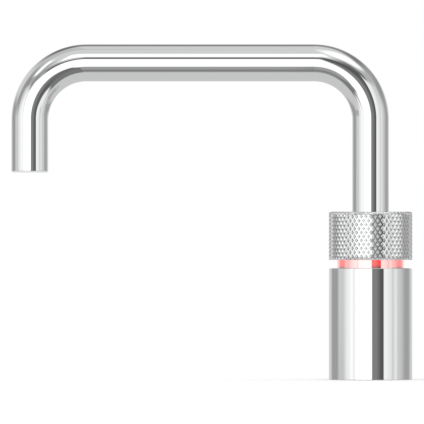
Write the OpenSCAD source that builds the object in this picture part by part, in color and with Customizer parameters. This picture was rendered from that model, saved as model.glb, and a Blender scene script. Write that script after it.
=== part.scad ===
// Boiling water tap for one hole in a worktop.
// The origin is on the worktop at the column's axis. Z is up, the spout reaches toward -X
// and the user stands at -Y. The knob is pushed down and turned, and the spout swivels and lifts.

/* [Spout tube] */
// Outer diameter of the spout tube
tube_d = 22; // [20:0.5:25]
// Wall of the spout tube
tube_wall = 1.2; // [1:0.1:1.5]
// Distance from the column's axis to the outlet's axis
reach = 201.6; // [160:0.1:240]
// Height of the level stretch's centre line above the worktop
crown_z = 187.5; // [170:0.1:220]
// Radius of both bends on the centre line
bend_r = 33.5; // [28:0.5:38]
// Length of the straight outlet leg below its bend
outlet_leg_h = 30.6; // [27:0.1:40]

/* [Outlet] */
// Depth of the rounded lip that shows below the tube
lip_h = 0.9; // [0.6:0.1:1.2]
// Width of the tube's rim that stays bare around the lip
lip_inset = 0.4; // [0.2:0.1:0.6]
// Length of the outlet body inside the tube
outlet_body_h = 14; // [13:0.5:15]
// Wall of the outlet body round its mouth
outlet_wall = 3.2; // [2.8:0.1:3.6]
// Step on which the flow plate seats, taken off the mouth's radius
mouth_step = 0.7; // [0.5:0.1:1]
// Length of the funnel above the flow plate
funnel_h = 4; // [3:0.5:5]
// Section of the seal round the outlet body
outlet_seal_d = 1.1; // [1:0.05:1.2]
// Depth of that seal's groove
outlet_groove_depth = 1; // [0.9:0.05:1]
// Depth from the lip to the flow plate's lower face
flow_plate_inset = 3; // [2.5:0.1:3.5]
// Thickness of the flow plate
flow_plate_h = 2.4; // [1.6:0.1:2.6]
// Holes in the flow plate's outer ring
flow_hole_count = 8; // [6:1:9]
// Diameter of each hole in the flow plate, as a share of the radius that the holes fill
flow_hole_share = 0.34; // [0.26:0.02:0.38]
// Width between the ring of holes and the retaining ring
flow_edge = 0.5; // [0.3:0.1:0.8]
// Thickness of the ring that holds the flow plate
retainer_h = 1.2; // [0.8:0.1:1.4]
// Radial width of the ring that holds the flow plate
retainer_w = 1.2; // [0.8:0.1:1.4]

/* [Spout liner] */
// Bore of the hose inside the spout
liner_bore_d = 5.6; // [5:0.1:6.4]
// Wall of the hose inside the spout
liner_wall = 1.2; // [1:0.1:1.6]
// Wall of both hose tails
tail_wall = 0.95; // [0.8:0.05:1.1]
// Length of both hose tails
tail_h = 10; // [8:0.5:11]
// Thickness of each spacer that centres the hose
spacer_h = 4; // [3:0.5:5]
// Number of notches round each spacer
spacer_notches = 4; // [3:1:5]
// Width of each notch in a spacer
notch_w = 4; // [3:0.5:5]

/* [Water sleeve] */
// Step of each guide flange round the sleeve
guide_step = 2.7; // [2.4:0.1:3]
// Wall of the sleeve between its guide flanges
water_sleeve_wall = 2; // [1.6:0.1:2.2]
// Height of each guide flange
guide_h = 5; // [4:0.5:6]
// Room above the riser in the sleeve's bore
riser_room_h = 8.2; // [6:0.1:10]
// Thickness of the end that closes the slide bore
sleeve_end_h = 2; // [1.6:0.1:2.4]

/* [Column core] */
// Wall of the core and of its threaded shank
core_wall = 3.3; // [3:0.1:4]
// Height of the core above its uppermost retaining ring
core_edge = 0.5; // [0.4:0.1:0.8]
// Thickness of the foot flange
foot_h = 7; // [6.6:0.1:9]
// Depth of the gasket's recess under the foot
gasket_h = 1.8; // [1.4:0.1:2]
// Width of the foot's face between the spigot and the gasket
gasket_gap = 2; // [1.5:0.1:2.5]
// Width of the foot's face outside the gasket
gasket_edge = 1.1; // [0.8:0.1:1.6]
// Depth of each retaining ring's groove
ring_groove_depth = 0.6; // [0.5:0.05:0.7]
// Thickness of each retaining ring
ring_h = 1; // [0.9:0.05:1.05]
// Radial width of each retaining ring
ring_w = 2; // [1.8:0.1:2.1]
// Width of the opening in each retaining ring
ring_gap = 5; // [4:0.5:7]

/* [Worktop fixing] */
// Length of the threaded shank below the worktop
shank_h = 58; // [52:0.5:64]
// Step of the spigot that centres the tap in its hole, round the shank
spigot_step = 1; // [0.6:0.1:1.4]
// Height of the spigot below the worktop
spigot_h = 7; // [5:0.5:9]
// Thickness of the worktop that the clamping parts are drawn for
worktop_h = 30; // [24:0.5:34]
// Radial width of both clamping washers outside the nut's flats
washer_edge = 5.5; // [4:0.5:8]
// Thickness of the rubber washer
rubber_h = 2; // [1.5:0.1:3]
// Thickness of the steel washer
steel_h = 1.5; // [1.2:0.1:2]
// Wall of the mounting nut between the shank and its flats
nut_wall = 4.5; // [3.5:0.5:6]
// Height of the mounting nut
nut_h = 10; // [8:0.5:11]
// Chamfer on the mounting nut's corners
nut_chamfer = 1.2; // [0.8:0.1:1.6]

/* [Riser and supply] */
// Wall of the riser pipe
riser_wall = 1.6; // [1.4:0.1:1.8]
// Depth of the riser's top below the core's top
riser_drop = 9.5; // [8:0.5:12]
// Height of the riser's head that carries the seals
riser_head_h = 8; // [7:0.1:9]
// Step of the riser's head round the pipe
riser_head_step = 0.3; // [0.2:0.05:0.4]
// Depth of each seal's groove in the riser's head
head_groove_depth = 0.9; // [0.8:0.05:1]
// Section of each riser seal
head_seal_d = 0.95; // [0.9:0.01:0.95]
// Axial spacing of the two riser seals
head_seal_pitch = 3; // [2.5:0.1:3.5]
// Depth of the plug inside the shank
plug_h = 10; // [8:0.5:12]
// Thickness of the plug's flange
plug_flange_h = 3; // [2.5:0.1:4]
// Step of the plug's flange inside the shank's thread
plug_flange_step = 1; // [0.8:0.1:1.4]
// Step of the supply tail round its thread
supply_step = 0.4; // [0.2:0.1:0.5]
// Length of the supply tail below its hexagon
supply_h = 18; // [15:0.5:22]
// Height of the supply tail's hexagon and of the gland's cap
supply_hex_h = 5; // [4:0.5:6]
// Wall of the supply tail's hexagon, from the tail to its flats
supply_hex_wall = 0.5; // [0.4:0.1:0.7]
// Length of the tail's thread inside the plug
supply_thread_h = 5; // [4:0.5:6]

/* [Lamp lead and gland] */
// Gap between the gland's cap and the supply tail's hexagon
gland_gap = 0.5; // [0.3:0.1:0.6]
// Diameter of the gland's cap
gland_cap_d = 6.6; // [6.2:0.1:6.8]
// Diameter of the gland's thread in the plug
gland_thread_d = 5.4; // [5:0.1:5.6]
// Bore of the gland
gland_bore_d = 3.2; // [3:0.1:3.4]
// Diameter of the lamp lead inside the tap
lead_d = 2.4; // [2:0.1:2.4]
// Bend radius of the lamp lead
lead_bend_r = 2; // [1.6:0.1:2.2]
// Gap between the lead and each metal face that it passes
lead_gap = 0.65; // [0.5:0.05:0.8]

/* [Base sleeve] */
// Wall of the base sleeve
base_wall = 1.55; // [1.3:0.05:1.8]
// Height of the base sleeve
base_h = 66; // [60:0.5:80]
// Thickness of the base sleeve's inward rim
rim_h = 2.5; // [2:0.1:3]
// Rounding of the base sleeve's top edge
base_edge_r = 0.6; // [0.3:0.1:0.9]
// Wall of the foot above and below the grub screw behind the base
grub_land = 0.6; // [0.4:0.1:1]
// Length of the grub screw
grub_h = 6; // [5:0.5:6]
// Depth of the grub screw's outer end below the base's surface
grub_inset = 0.3; // [0.1:0.1:0.6]
// Width of the grub screw's hexagon socket
grub_socket_d = 2; // [1.6:0.1:2.2]
// Depth of the grub screw's hexagon socket
grub_socket_h = 2; // [1.5:0.1:2.5]

/* [Light ring] */
// Radial room between the core and the light ring, in which the knob spring stands
spring_room = 2; // [1.9:0.1:2.4]
// Wall of the light ring
light_wall = 1.7; // [1.5:0.05:2]
// Height of the light ring above the base
light_rise = 8.5; // [7:0.1:10]
// Radial width of the light ring's flange under the rim
light_flange_w = 1.3; // [1:0.1:1.5]
// Thickness of the light ring's flange
light_flange_h = 3.4; // [3:0.1:3.6]
// Height of the light ring's inner skirt, which stands on the lamp board
light_skirt_h = 1.4; // [1.3:0.1:1.6]
// Wall of the light ring's inner skirt
light_skirt_wall = 0.6; // [0.5:0.05:0.7]
// Thickness of the lamp board
board_h = 1.6; // [1.2:0.1:1.6]
// Gap between the lamp board and the core
board_gap = 0.5; // [0.4:0.1:0.8]
// Gap between the lamp board and the base sleeve
board_edge_gap = 0.3; // [0.2:0.1:0.5]
// Height of the board holder
holder_h = 5; // [4.5:0.1:5]
// Number of lamps round the board
lamp_count = 8; // [6:1:10]
// Radial width of each lamp
lamp_w = 1.6; // [1.2:0.1:1.7]
// Length of each lamp round the board
lamp_l = 2.4; // [2:0.1:3]
// Height of each lamp
lamp_h = 0.9; // [0.6:0.1:1]
// Radial width of each knob sensor
sensor_w = 1.3; // [1:0.1:1.3]
// Length of each knob sensor round the board
sensor_l = 3; // [2.5:0.1:3.2]
// Height of each knob sensor
sensor_h = 1; // [0.8:0.1:1.2]

/* [Lift sleeve] */
// Distance by which the spout lifts
lift_travel = 45; // [35:0.5:50]
// Wall of the lift sleeve
lift_wall = 1.55; // [1.4:0.05:1.8]
// Height of the collar on the tube's lower end
end_collar_h = 3; // [2.6:0.1:3]
// Radial width of the collar on the tube's lower end
end_collar_w = 1.4; // [1.2:0.1:1.5]
// Depth of the retaining ring's groove in the tube
tube_groove_depth = 0.5; // [0.4:0.05:0.5]
// Width of the lift sleeve's key
lift_key_w = 3; // [2.6:0.1:3.4]
// Depth of the lift sleeve's key in the core
lift_key_depth = 1.4; // [1.2:0.1:1.5]
// Distance of the key from the lift sleeve's foot and from the brake ring
lift_key_inset = 3; // [2:0.5:4]
// Height of the brake ring in the lift sleeve
brake_h = 3; // [2.5:0.1:3.5]
// Depth of the brake ring's groove
brake_depth = 0.85; // [0.7:0.05:0.9]
// Distance of the brake ring from the lift sleeve's top
brake_inset = 3; // [2:0.5:4]
// Height of the bush in the core's top
bush_h = 6.5; // [5:0.1:8]
// Thickness of the bush's flange on the core's top
bush_flange_h = 0.5; // [0.4:0.05:0.5]
// Radial width of the bush's flange on the core
bush_flange_w = 1.3; // [1:0.1:1.8]

/* [Knob] */
// Height of the gap between the base and the knob
knob_gap = 4.8; // [4:0.1:6]
// Wall of the knob
knob_wall = 2.15; // [1.9:0.05:2.6]
// Thickness of the knob's top
knob_top_h = 2; // [1.6:0.1:2.6]
// Gap round the spout in the knob's top
knob_hole_gap = 0.4; // [0.3:0.05:0.6]
// Room between the core's top and the pushed knob
knob_room_h = 0.4; // [0.3:0.1:0.8]
// Diamonds round the knob
knurl_count = 54; // [48:2:60]
// Rows of diamonds up the knob
knurl_rows = 6; // [5:1:7]
// Depth of the knurl's grooves
knurl_depth = 0.55; // [0.4:0.05:0.7]
// Radius taken off the knob's lower edge
knob_low_edge = 0.8; // [0.7:0.1:1]
// Radius taken off the knob's upper edge
knob_top_edge = 1.2; // [1:0.1:1.4]
// Distance by which the knob is pushed down
push_travel = 3; // [2.5:0.1:3]
// Angle by which the knob turns
turn_angle = 90; // [60:5:90]

/* [Knob hub and carrier] */
// Wall of the carrier's barrel
carrier_wall = 2; // [1.8:0.05:2.4]
// Gap between the pushed carrier and the light ring
carrier_gap = 0.5; // [0.4:0.1:1]
// Thickness of the carrier's flange
carrier_flange_h = 2; // [1.6:0.1:2.4]
// Gap between the carrier's flange and the hub's skirt
flange_gap = 0.3; // [0.2:0.05:0.4]
// Width of the carrier's key
carrier_key_w = 3; // [2.6:0.1:3.4]
// Depth of the carrier's key in the core
carrier_key_depth = 0.8; // [0.7:0.05:0.9]
// Axial play of the hub on the carrier at each end
hub_play = 0.15; // [0.1:0.05:0.2]
// Height of the hub's bearing on the carrier
hub_bearing_h = 9.7; // [9:0.1:12]
// Wall of the hub at its bearing
hub_wall = 4.3; // [4.1:0.1:5]
// Gap between the hub's skirt and the light ring
skirt_gap = 0.6; // [0.5:0.05:0.8]
// Depth by which the hub's skirt stays above the knob's lower edge
skirt_inset = 0.7; // [0.4:0.1:1]
// Wall of the hub's upper rim
hub_rim_wall = 1.5; // [1.2:0.1:1.8]
// Thickness of the ring that keeps the hub on the carrier
keeper_h = 1; // [0.9:0.05:1.05]
// Radial width of the ring that keeps the hub on the carrier
keeper_w = 1.7; // [1.5:0.1:1.8]
// Depth of the keeper's groove in the carrier
keeper_depth = 0.8; // [0.7:0.05:0.9]
// Height of the carrier above the keeper
keeper_edge = 0.9; // [0.7:0.1:1.2]
// Diameter of the stop pin
stop_pin_d = 1.4; // [1.2:0.1:1.5]
// Height of the stop pin above the carrier's flange
stop_pin_h = 2.4; // [2:0.1:2.6]
// Spare angle of the stop slot at each end
stop_spare = 3; // [2:0.5:5]
// Diameter of each knob magnet
magnet_d = 1.6; // [1.4:0.1:1.6]
// Length of each knob magnet
magnet_h = 4; // [3:0.5:5]

/* [Springs and detent] */
// Wire of the knob spring
spring_wire = 0.9; // [0.8:0.05:0.95]
// Turns of the knob spring
spring_turns = 4; // [3:1:4]
// Thickness of the knob spring's seat
spring_seat_h = 1; // [0.9:0.05:1]
// Diameter of the detent ball
ball_d = 2.5; // [2.4:0.1:2.6]
// Height of the detent above the carrier's lower face
detent_h = 7; // [6.5:0.1:7.5]
// Depth of the detent's track in the carrier
track_depth = 0.4; // [0.35:0.05:0.45]
// Width of the detent's track in the carrier
track_w = 2; // [1.9:0.1:2.2]
// Wire of the detent spring
detent_wire = 0.35; // [0.3:0.05:0.4]
// Turns of the detent spring
detent_turns = 3; // [2:1:3]

/* [Clearances] */
// Radial clearance of a sliding fit
slip = 0.1; // [0.08:0.01:0.1]
// Radial clearance of a close fit
close = 0.05; // [0.03:0.01:0.05]
// Side clearance of a key in its groove
key_slip = 0.1; // [0.08:0.01:0.12]
// Axial play between pieces that turn on each other
end_play = 0.1; // [0.08:0.01:0.12]
// Radial clearance of a loose fit
loose = 0.3; // [0.2:0.05:0.4]

/* [Hidden] */
$fn = 96;
// Overrun of every cut beyond the face that it opens
over = 0.5;
// Facets of the parts made from flat faces
hex = 6;
coil_sides = 6;
coil_steps_per_turn = 20;
detent_steps_per_turn = 10;

chrome = [0.83, 0.84, 0.86];
lamp_red = [0.95, 0.42, 0.38];
brass = [0.80, 0.67, 0.40];
steel = [0.62, 0.64, 0.66];
white_plastic = [0.90, 0.90, 0.88];
grey_plastic = [0.72, 0.73, 0.74];
black_plastic = [0.14, 0.14, 0.15];
black_rubber = [0.10, 0.10, 0.10];
board_green = [0.10, 0.36, 0.20];
lead_grey = [0.35, 0.35, 0.36];

// Diameters, from the spout outward: each piece goes round the one before
tube_bore_d = tube_d - 2 * tube_wall;
lift_sleeve_bore_d = tube_d + 2 * close;
lift_sleeve_d = lift_sleeve_bore_d + 2 * lift_wall;
core_bore_d = lift_sleeve_d + 2 * slip;
core_d = core_bore_d + 2 * core_wall;
carrier_bore_d = core_d + 2 * slip;
carrier_d = carrier_bore_d + 2 * carrier_wall;
hub_bore_d = carrier_d + 2 * slip;
hub_d = hub_bore_d + 2 * hub_wall;
knob_bore_d = hub_d + 2 * slip;
body_d = knob_bore_d + 2 * knob_wall;
base_bore_d = body_d - 2 * base_wall;
foot_d = base_bore_d - 2 * slip;
light_bore_d = core_d + 2 * spring_room;
light_d = light_bore_d + 2 * light_wall;
light_flange_d = light_d + 2 * light_flange_w;
skirt_bore_d = light_d + 2 * skirt_gap;
carrier_flange_d = skirt_bore_d - 2 * flange_gap;
board_bore_d = core_d + 2 * board_gap;
board_d = base_bore_d - 2 * board_edge_gap;
lamp_r = (light_bore_d + 2 * light_skirt_wall + light_flange_d) / 4;
sensor_r = (light_flange_d + board_d) / 4;
magnet_r = (skirt_bore_d + hub_d) / 4;
stop_pin_r = (carrier_d + carrier_flange_d) / 4;
core_groove_d = core_d - 2 * ring_groove_depth;
core_ring_d = core_groove_d + 2 * ring_w;
keeper_groove_d = carrier_d - 2 * keeper_depth;
tube_groove_d = tube_d - 2 * tube_groove_depth;
tube_ring_d = tube_d + 2 * end_collar_w;
spring_mean_r = (core_d + light_bore_d) / 4;

// Diameters of the waterway
guide_d = tube_bore_d - 2 * slip;
sleeve_body_d = guide_d - 2 * guide_step;
slide_bore_d = sleeve_body_d - 2 * water_sleeve_wall;
riser_head_d = slide_bore_d - 2 * slip;
riser_d = riser_head_d - 2 * riser_head_step;
riser_bore_d = riser_d - 2 * riser_wall;
liner_d = liner_bore_d + 2 * liner_wall;
tail_d = liner_bore_d - 2 * close;
tail_bore_d = tail_d - 2 * tail_wall;
mouth_d = guide_d - 2 * outlet_wall;
retainer_d = mouth_d - 2 * close;
flow_open_r = retainer_d / 2 - retainer_w - flow_edge;
flow_hole_d = flow_open_r * flow_hole_share;
flow_ring_r = flow_open_r - flow_hole_d / 2;

// Diameters below the worktop
spigot_d = core_d + 2 * spigot_step;
gasket_bore_d = spigot_d + 2 * gasket_gap;
gasket_d = foot_d - 2 * gasket_edge;
nut_af = core_d + 2 * nut_wall;
washer_d = nut_af + 2 * washer_edge;
washer_bore_d = core_d + 2 * loose;
plug_flange_d = core_d - 2 * plug_flange_step;
supply_d = riser_d + 2 * supply_step;
supply_hex_af = supply_d + 2 * supply_hex_wall;
gland_y = (supply_hex_af + gland_cap_d) / 2 + gland_gap;

// Heights of the base and the light ring
rim_z = base_h - rim_h;
light_top_z = base_h + light_rise;
light_flange_z = rim_z - end_play - light_flange_h;
board_z = light_flange_z - light_skirt_h - board_h;
holder_z = board_z - holder_h;
holder_ring_z = holder_z - ring_h;
spring_z = base_h - end_play;
seat_z = spring_z - spring_seat_h;
seat_ring_z = seat_z - ring_h;
grub_z = (gasket_h + foot_h) / 2;
grub_d = foot_h - gasket_h - 2 * grub_land;
grub_tip_y = body_d / 2 - grub_inset - grub_h;

// Heights of the knob and its carrier
carrier_z = light_top_z + push_travel + carrier_gap;
hub_z = carrier_z + carrier_flange_h + hub_play;
hub_bearing_top_z = hub_z + hub_bearing_h;
keeper_z = hub_bearing_top_z + hub_play;
carrier_h = keeper_z + keeper_h + keeper_edge - carrier_z;
top_ring_z = carrier_z + carrier_h + end_play;
core_h = top_ring_z + ring_h + core_edge;
hub_top_z = core_h + bush_flange_h + push_travel + knob_room_h;
knob_z = base_h + knob_gap;
knob_h = hub_top_z + knob_top_h - knob_z;
skirt_z = knob_z + skirt_inset;
spring_h = carrier_z - spring_z;
detent_z = carrier_z + detent_h;

// Heights of the lead, the lift sleeve and the spout's column leg
lead_z = foot_h + lead_d / 2 + lead_gap;
lead_out_y = (core_d + base_bore_d) / 4;
lead_hole_d = lead_d + 2 * loose;
tube_foot_z = lead_z + lead_d / 2 + 2 * lead_gap;
lift_sleeve_z = tube_foot_z + end_collar_h + 2 * end_play;
tube_ring_z = core_h - bush_h - lift_travel - end_play - ring_h;
lift_sleeve_h = tube_ring_z - end_play - lift_sleeve_z;
brake_z = lift_sleeve_z + lift_sleeve_h - brake_inset - brake_h;
lift_key_z = lift_sleeve_z + lift_key_inset;
lift_key_h = brake_z - lift_key_inset - lift_key_z;
riser_top_z = core_h - riser_drop;
water_flange_top_z = riser_top_z + riser_room_h + sleeve_end_h;
water_sleeve_h = water_flange_top_z - tube_foot_z;

// Heights of the spout's bends and its outlet
bend_z = crown_z - bend_r;
level_l = reach - 2 * bend_r;
outlet_end_z = bend_z - outlet_leg_h;
outlet_body_top_z = outlet_end_z + outlet_body_h;
outlet_lip_z = outlet_end_z - lip_h;
flow_plate_z = outlet_lip_z + flow_plate_inset;
outlet_seal_z = flow_plate_z + flow_plate_h + outlet_seal_d;

// Heights below the worktop
plug_z = -shank_h;
plug_flange_z = plug_z - plug_flange_h;
supply_hex_z = plug_flange_z - supply_hex_h;
supply_end_z = supply_hex_z - supply_h;
riser_foot_z = plug_flange_z + supply_thread_h;
rubber_z = -worktop_h - rubber_h;
steel_z = rubber_z - steel_h;
nut_z = steel_z - nut_h;

// Detent and stop
ball_place_r = (carrier_d + ball_d) / 2 - track_depth + slip;
ball_hole_d = ball_d + 2 * close;
detent_spring_r = ball_place_r + ball_d / 2;
detent_spring_h = hub_d / 2 - detent_spring_r;
stop_slot_d = 2 * stop_pin_r + stop_pin_d + 4 * slip;
stop_slot_h = stop_pin_h + slip;
stop_half = asin(stop_pin_d / 2 / stop_pin_r);

// Places round the axis, in degrees from +X
lift_key_angle = 0;
carrier_key_angle = 180;
stop_pin_angle = 300;
detent_angle = 60;
magnet_angles = [200, 240];
spacer_shares = [0.2, 0.5, 0.8];

// Plain ring standing on z = 0
module ring(outer_d, inner_d, h) {
    difference() {
        cylinder(d = outer_d, h = h);
        translate([0, 0, -over]) cylinder(d = inner_d, h = h + 2 * over);
    }
}

// Ring with an opening on its +X side
module open_ring(outer_d, inner_d, h, gap) {
    difference() {
        ring(outer_d, inner_d, h);
        translate([0, -gap / 2, -over]) cube([outer_d, gap, h + 2 * over]);
    }
}

// What a corner rounding of radius r takes off, with the kept centre at the origin
module corner_cut(r) {
    difference() {
        square(r + over);
        circle(r = r);
    }
}

// Seal of round section on z = 0
module seal(outer_d, section) {
    rotate_extrude() translate([(outer_d - section) / 2, 0]) circle(d = section);
}

// Quarter bend of a hollow section, from +X to +Z round the -Y axis
module bend(outer_d, inner_d) {
    rotate([90, 0, 0]) rotate_extrude(angle = 90) translate([bend_r, 0]) difference() {
        circle(d = outer_d);
        circle(d = inner_d);
    }
}

// Hollow run along the spout, from start_z on the column's axis to end_z above the outlet
module spout_run(outer_d, inner_d, start_z, end_z) {
    translate([0, 0, start_z]) ring(outer_d, inner_d, bend_z - start_z);
    translate([-bend_r, 0, bend_z]) bend(outer_d, inner_d);
    translate([-bend_r, 0, crown_z]) rotate([0, -90, 0]) ring(outer_d, inner_d, level_l);
    translate([bend_r - reach, 0, bend_z]) mirror([1, 0, 0]) bend(outer_d, inner_d);
    translate([-reach, 0, end_z]) ring(outer_d, inner_d, bend_z - end_z);
}

// Points of a coil that stands on z = 0, ring by ring
function coil_points(mean_r, wire, h, turns, steps) = [
    for (s = [0 : steps]) for (k = [0 : coil_sides - 1])
        let (
            turn = 360 * turns * s / steps,
            side = 360 * k / coil_sides,
            r = mean_r + wire / 2 * cos(side),
            z = wire / 2 + (h - wire) * s / steps + wire / 2 * sin(side)
        )
        [r * cos(turn), r * sin(turn), z]
];

// Faces of that coil, wound outward
function coil_faces(steps) = concat(
    [[for (k = [0 : coil_sides - 1]) k]],
    [for (s = [0 : steps - 1]) for (k = [0 : coil_sides - 1])
        let (a = s * coil_sides, b = a + coil_sides, n = (k + 1) % coil_sides)
        each [[a + k, b + k, b + n], [a + k, b + n, a + n]]],
    [[for (k = [coil_sides - 1 : -1 : 0]) steps * coil_sides + k]]
);

module coil(mean_r, wire, h, turns, steps) {
    polyhedron(coil_points(mean_r, wire, h, turns, steps), coil_faces(steps), convexity = 8);
}

// Radius of the knurled drum at half row j and half column i
function knurl_r(i, j) =
    j == 0 ? body_d / 2 - knob_low_edge :
    j == 2 * knurl_rows ? body_d / 2 - knob_top_edge :
    (i + j) % 2 == 0 ? body_d / 2 : body_d / 2 - knurl_depth;

// Drum with diamonds: peaks where i + j is even, crossings of the grooves where it is odd
module knurled_drum() {
    columns = 2 * knurl_count;
    rows = 2 * knurl_rows;
    points = [
        for (j = [0 : rows]) for (i = [0 : columns - 1])
            let (turn = 360 * i / columns, r = knurl_r(i, j))
            [r * cos(turn), r * sin(turn), knob_h * j / rows]
    ];
    sides = [
        for (j = [0 : rows - 1]) for (i = [0 : columns - 1])
            let (
                n = (i + 1) % columns,
                a = j * columns + i,
                b = j * columns + n,
                c = (j + 1) * columns + n,
                d = (j + 1) * columns + i
            )
            each (i + j) % 2 == 0 ? [[a, d, b], [b, d, c]] : [[a, c, b], [a, d, c]]
    ];
    low_cap = [for (i = [0 : columns - 1]) i];
    top_cap = [for (i = [columns - 1 : -1 : 0]) rows * columns + i];
    polyhedron(points, concat([low_cap], sides, [top_cap]), convexity = 6);
}

// Spout tube: column leg, two bends, level stretch and outlet leg
module spout_tube() {
    color(chrome) difference() {
        spout_run(tube_d, tube_bore_d, tube_foot_z, outlet_end_z);
        translate([0, 0, tube_ring_z]) ring(tube_d + 2 * over, tube_groove_d, ring_h);
    }
}

// Outlet body: plug in the tube's end with the lip that shows and the hose tail
module outlet_body() {
    lip_d = tube_d - 2 * lip_inset;
    inner_d = mouth_d - 2 * mouth_step;
    groove_d = guide_d - 2 * outlet_groove_depth;
    color(grey_plastic) translate([-reach, 0, 0]) difference() {
        union() {
            translate([0, 0, outlet_end_z]) cylinder(d = guide_d, h = outlet_body_h);
            translate([0, 0, outlet_lip_z]) rotate_extrude() difference() {
                square([lip_d / 2, lip_h]);
                translate([lip_d / 2 - lip_h, lip_h]) mirror([0, 1]) corner_cut(lip_h);
            }
            translate([0, 0, outlet_body_top_z]) cylinder(d = tail_d, h = tail_h);
        }
        translate([0, 0, outlet_lip_z - over])
            cylinder(d = mouth_d, h = flow_plate_inset + flow_plate_h + over);
        translate([0, 0, outlet_lip_z])
            cylinder(d = inner_d, h = lip_h + outlet_body_h - funnel_h);
        translate([0, 0, outlet_body_top_z - funnel_h])
            cylinder(d1 = inner_d, d2 = tail_bore_d, h = funnel_h - sleeve_end_h);
        translate([0, 0, outlet_body_top_z - funnel_h])
            cylinder(d = tail_bore_d, h = funnel_h + tail_h + over);
        translate([0, 0, outlet_seal_z - outlet_seal_d / 2])
            ring(guide_d + 2 * over, groove_d, outlet_seal_d);
    }
}

// Seal between the outlet body and the tube
module outlet_seal() {
    color(black_rubber) translate([-reach, 0, outlet_seal_z])
        seal(tube_bore_d, outlet_seal_d);
}

// Flow plate: calms the jet with a ring of holes round a middle one
module flow_plate() {
    color(steel) translate([-reach, 0, flow_plate_z]) difference() {
        cylinder(d = retainer_d, h = flow_plate_h);
        translate([0, 0, -over]) cylinder(d = flow_hole_d, h = flow_plate_h + 2 * over);
        for (i = [0 : flow_hole_count - 1])
            rotate([0, 0, 360 * i / flow_hole_count])
                translate([flow_ring_r, 0, -over])
                    cylinder(d = flow_hole_d, h = flow_plate_h + 2 * over);
    }
}

// Ring that holds the flow plate against its step
module flow_plate_retainer() {
    color(steel) translate([-reach, 0, flow_plate_z - retainer_h])
        ring(retainer_d, retainer_d - 2 * retainer_w, retainer_h);
}

// Hose that carries the water through the spout, clear of the tube's wall
module spout_liner() {
    color(white_plastic)
        spout_run(liner_d, liner_bore_d, water_flange_top_z, outlet_body_top_z);
}

// One notched spacer, centred on the hose
module spacer() {
    difference() {
        ring(guide_d, liner_d + 2 * close, spacer_h);
        for (i = [0 : spacer_notches - 1])
            rotate([0, 0, 360 * i / spacer_notches])
                translate([(guide_d + liner_d) / 4, -notch_w / 2, -over])
                    cube([guide_d / 2, notch_w, spacer_h + 2 * over]);
    }
}

// Spacers on the column leg, along the level stretch and on the outlet leg
module liner_spacers() {
    color(white_plastic) {
        translate([0, 0, bend_z - 2 * spacer_h]) spacer();
        for (s = spacer_shares)
            translate([-bend_r - level_l * s, 0, crown_z]) rotate([0, -90, 0]) spacer();
        translate([-reach, 0, bend_z - spacer_h]) spacer();
    }
}

// Sleeve in the spout's leg that slides over the riser's head and feeds the hose
module water_sleeve() {
    color(white_plastic) translate([0, 0, tube_foot_z]) difference() {
        union() {
            cylinder(d = sleeve_body_d, h = water_sleeve_h);
            cylinder(d = guide_d, h = guide_h);
            translate([0, 0, water_sleeve_h - guide_h]) cylinder(d = guide_d, h = guide_h);
            cylinder(d = tail_d, h = water_sleeve_h + tail_h);
        }
        translate([0, 0, -over])
            cylinder(d = slide_bore_d, h = water_sleeve_h - sleeve_end_h + over);
        cylinder(d = tail_bore_d, h = water_sleeve_h + tail_h + over);
    }
}

// Collar on the spout's lower end, on which the lift sleeve rests
module end_collar() {
    color(brass) translate([0, 0, tube_foot_z]) ring(tube_ring_d, tube_d, end_collar_h);
}

// Retaining ring on the tube, above the lift sleeve
module tube_ring() {
    color(steel) translate([0, 0, tube_ring_z])
        open_ring(tube_ring_d, tube_groove_d, ring_h, ring_gap);
}

// Sleeve that slides in the core without turning, while the spout turns inside it
module lift_sleeve() {
    key_r = core_bore_d / 2 + lift_key_depth;
    color(grey_plastic) difference() {
        translate([0, 0, lift_sleeve_z]) union() {
            cylinder(d = lift_sleeve_d, h = lift_sleeve_h);
            translate([0, 0, lift_key_z - lift_sleeve_z]) rotate([0, 0, lift_key_angle])
                translate([0, -lift_key_w / 2, 0]) cube([key_r, lift_key_w, lift_key_h]);
        }
        translate([0, 0, lift_sleeve_z - over])
            cylinder(d = lift_sleeve_bore_d, h = lift_sleeve_h + 2 * over);
        translate([0, 0, brake_z])
            ring(lift_sleeve_d + 2 * over, lift_sleeve_d - 2 * brake_depth, brake_h);
    }
}

// Brake ring that holds the spout at the height where it is left
module brake_ring() {
    color(black_rubber) translate([0, 0, brake_z + end_play])
        ring(core_bore_d - 2 * close, lift_sleeve_d - 2 * brake_depth, brake_h - 2 * end_play);
}

// Knurled knob with its flat top, through which the spout passes
module knob_shell() {
    color(chrome) translate([0, 0, knob_z]) difference() {
        knurled_drum();
        translate([0, 0, -over]) cylinder(d = knob_bore_d, h = knob_h - knob_top_h + over);
        translate([0, 0, -over])
            cylinder(d = tube_d + 2 * knob_hole_gap, h = knob_h + 2 * over);
    }
}

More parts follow.
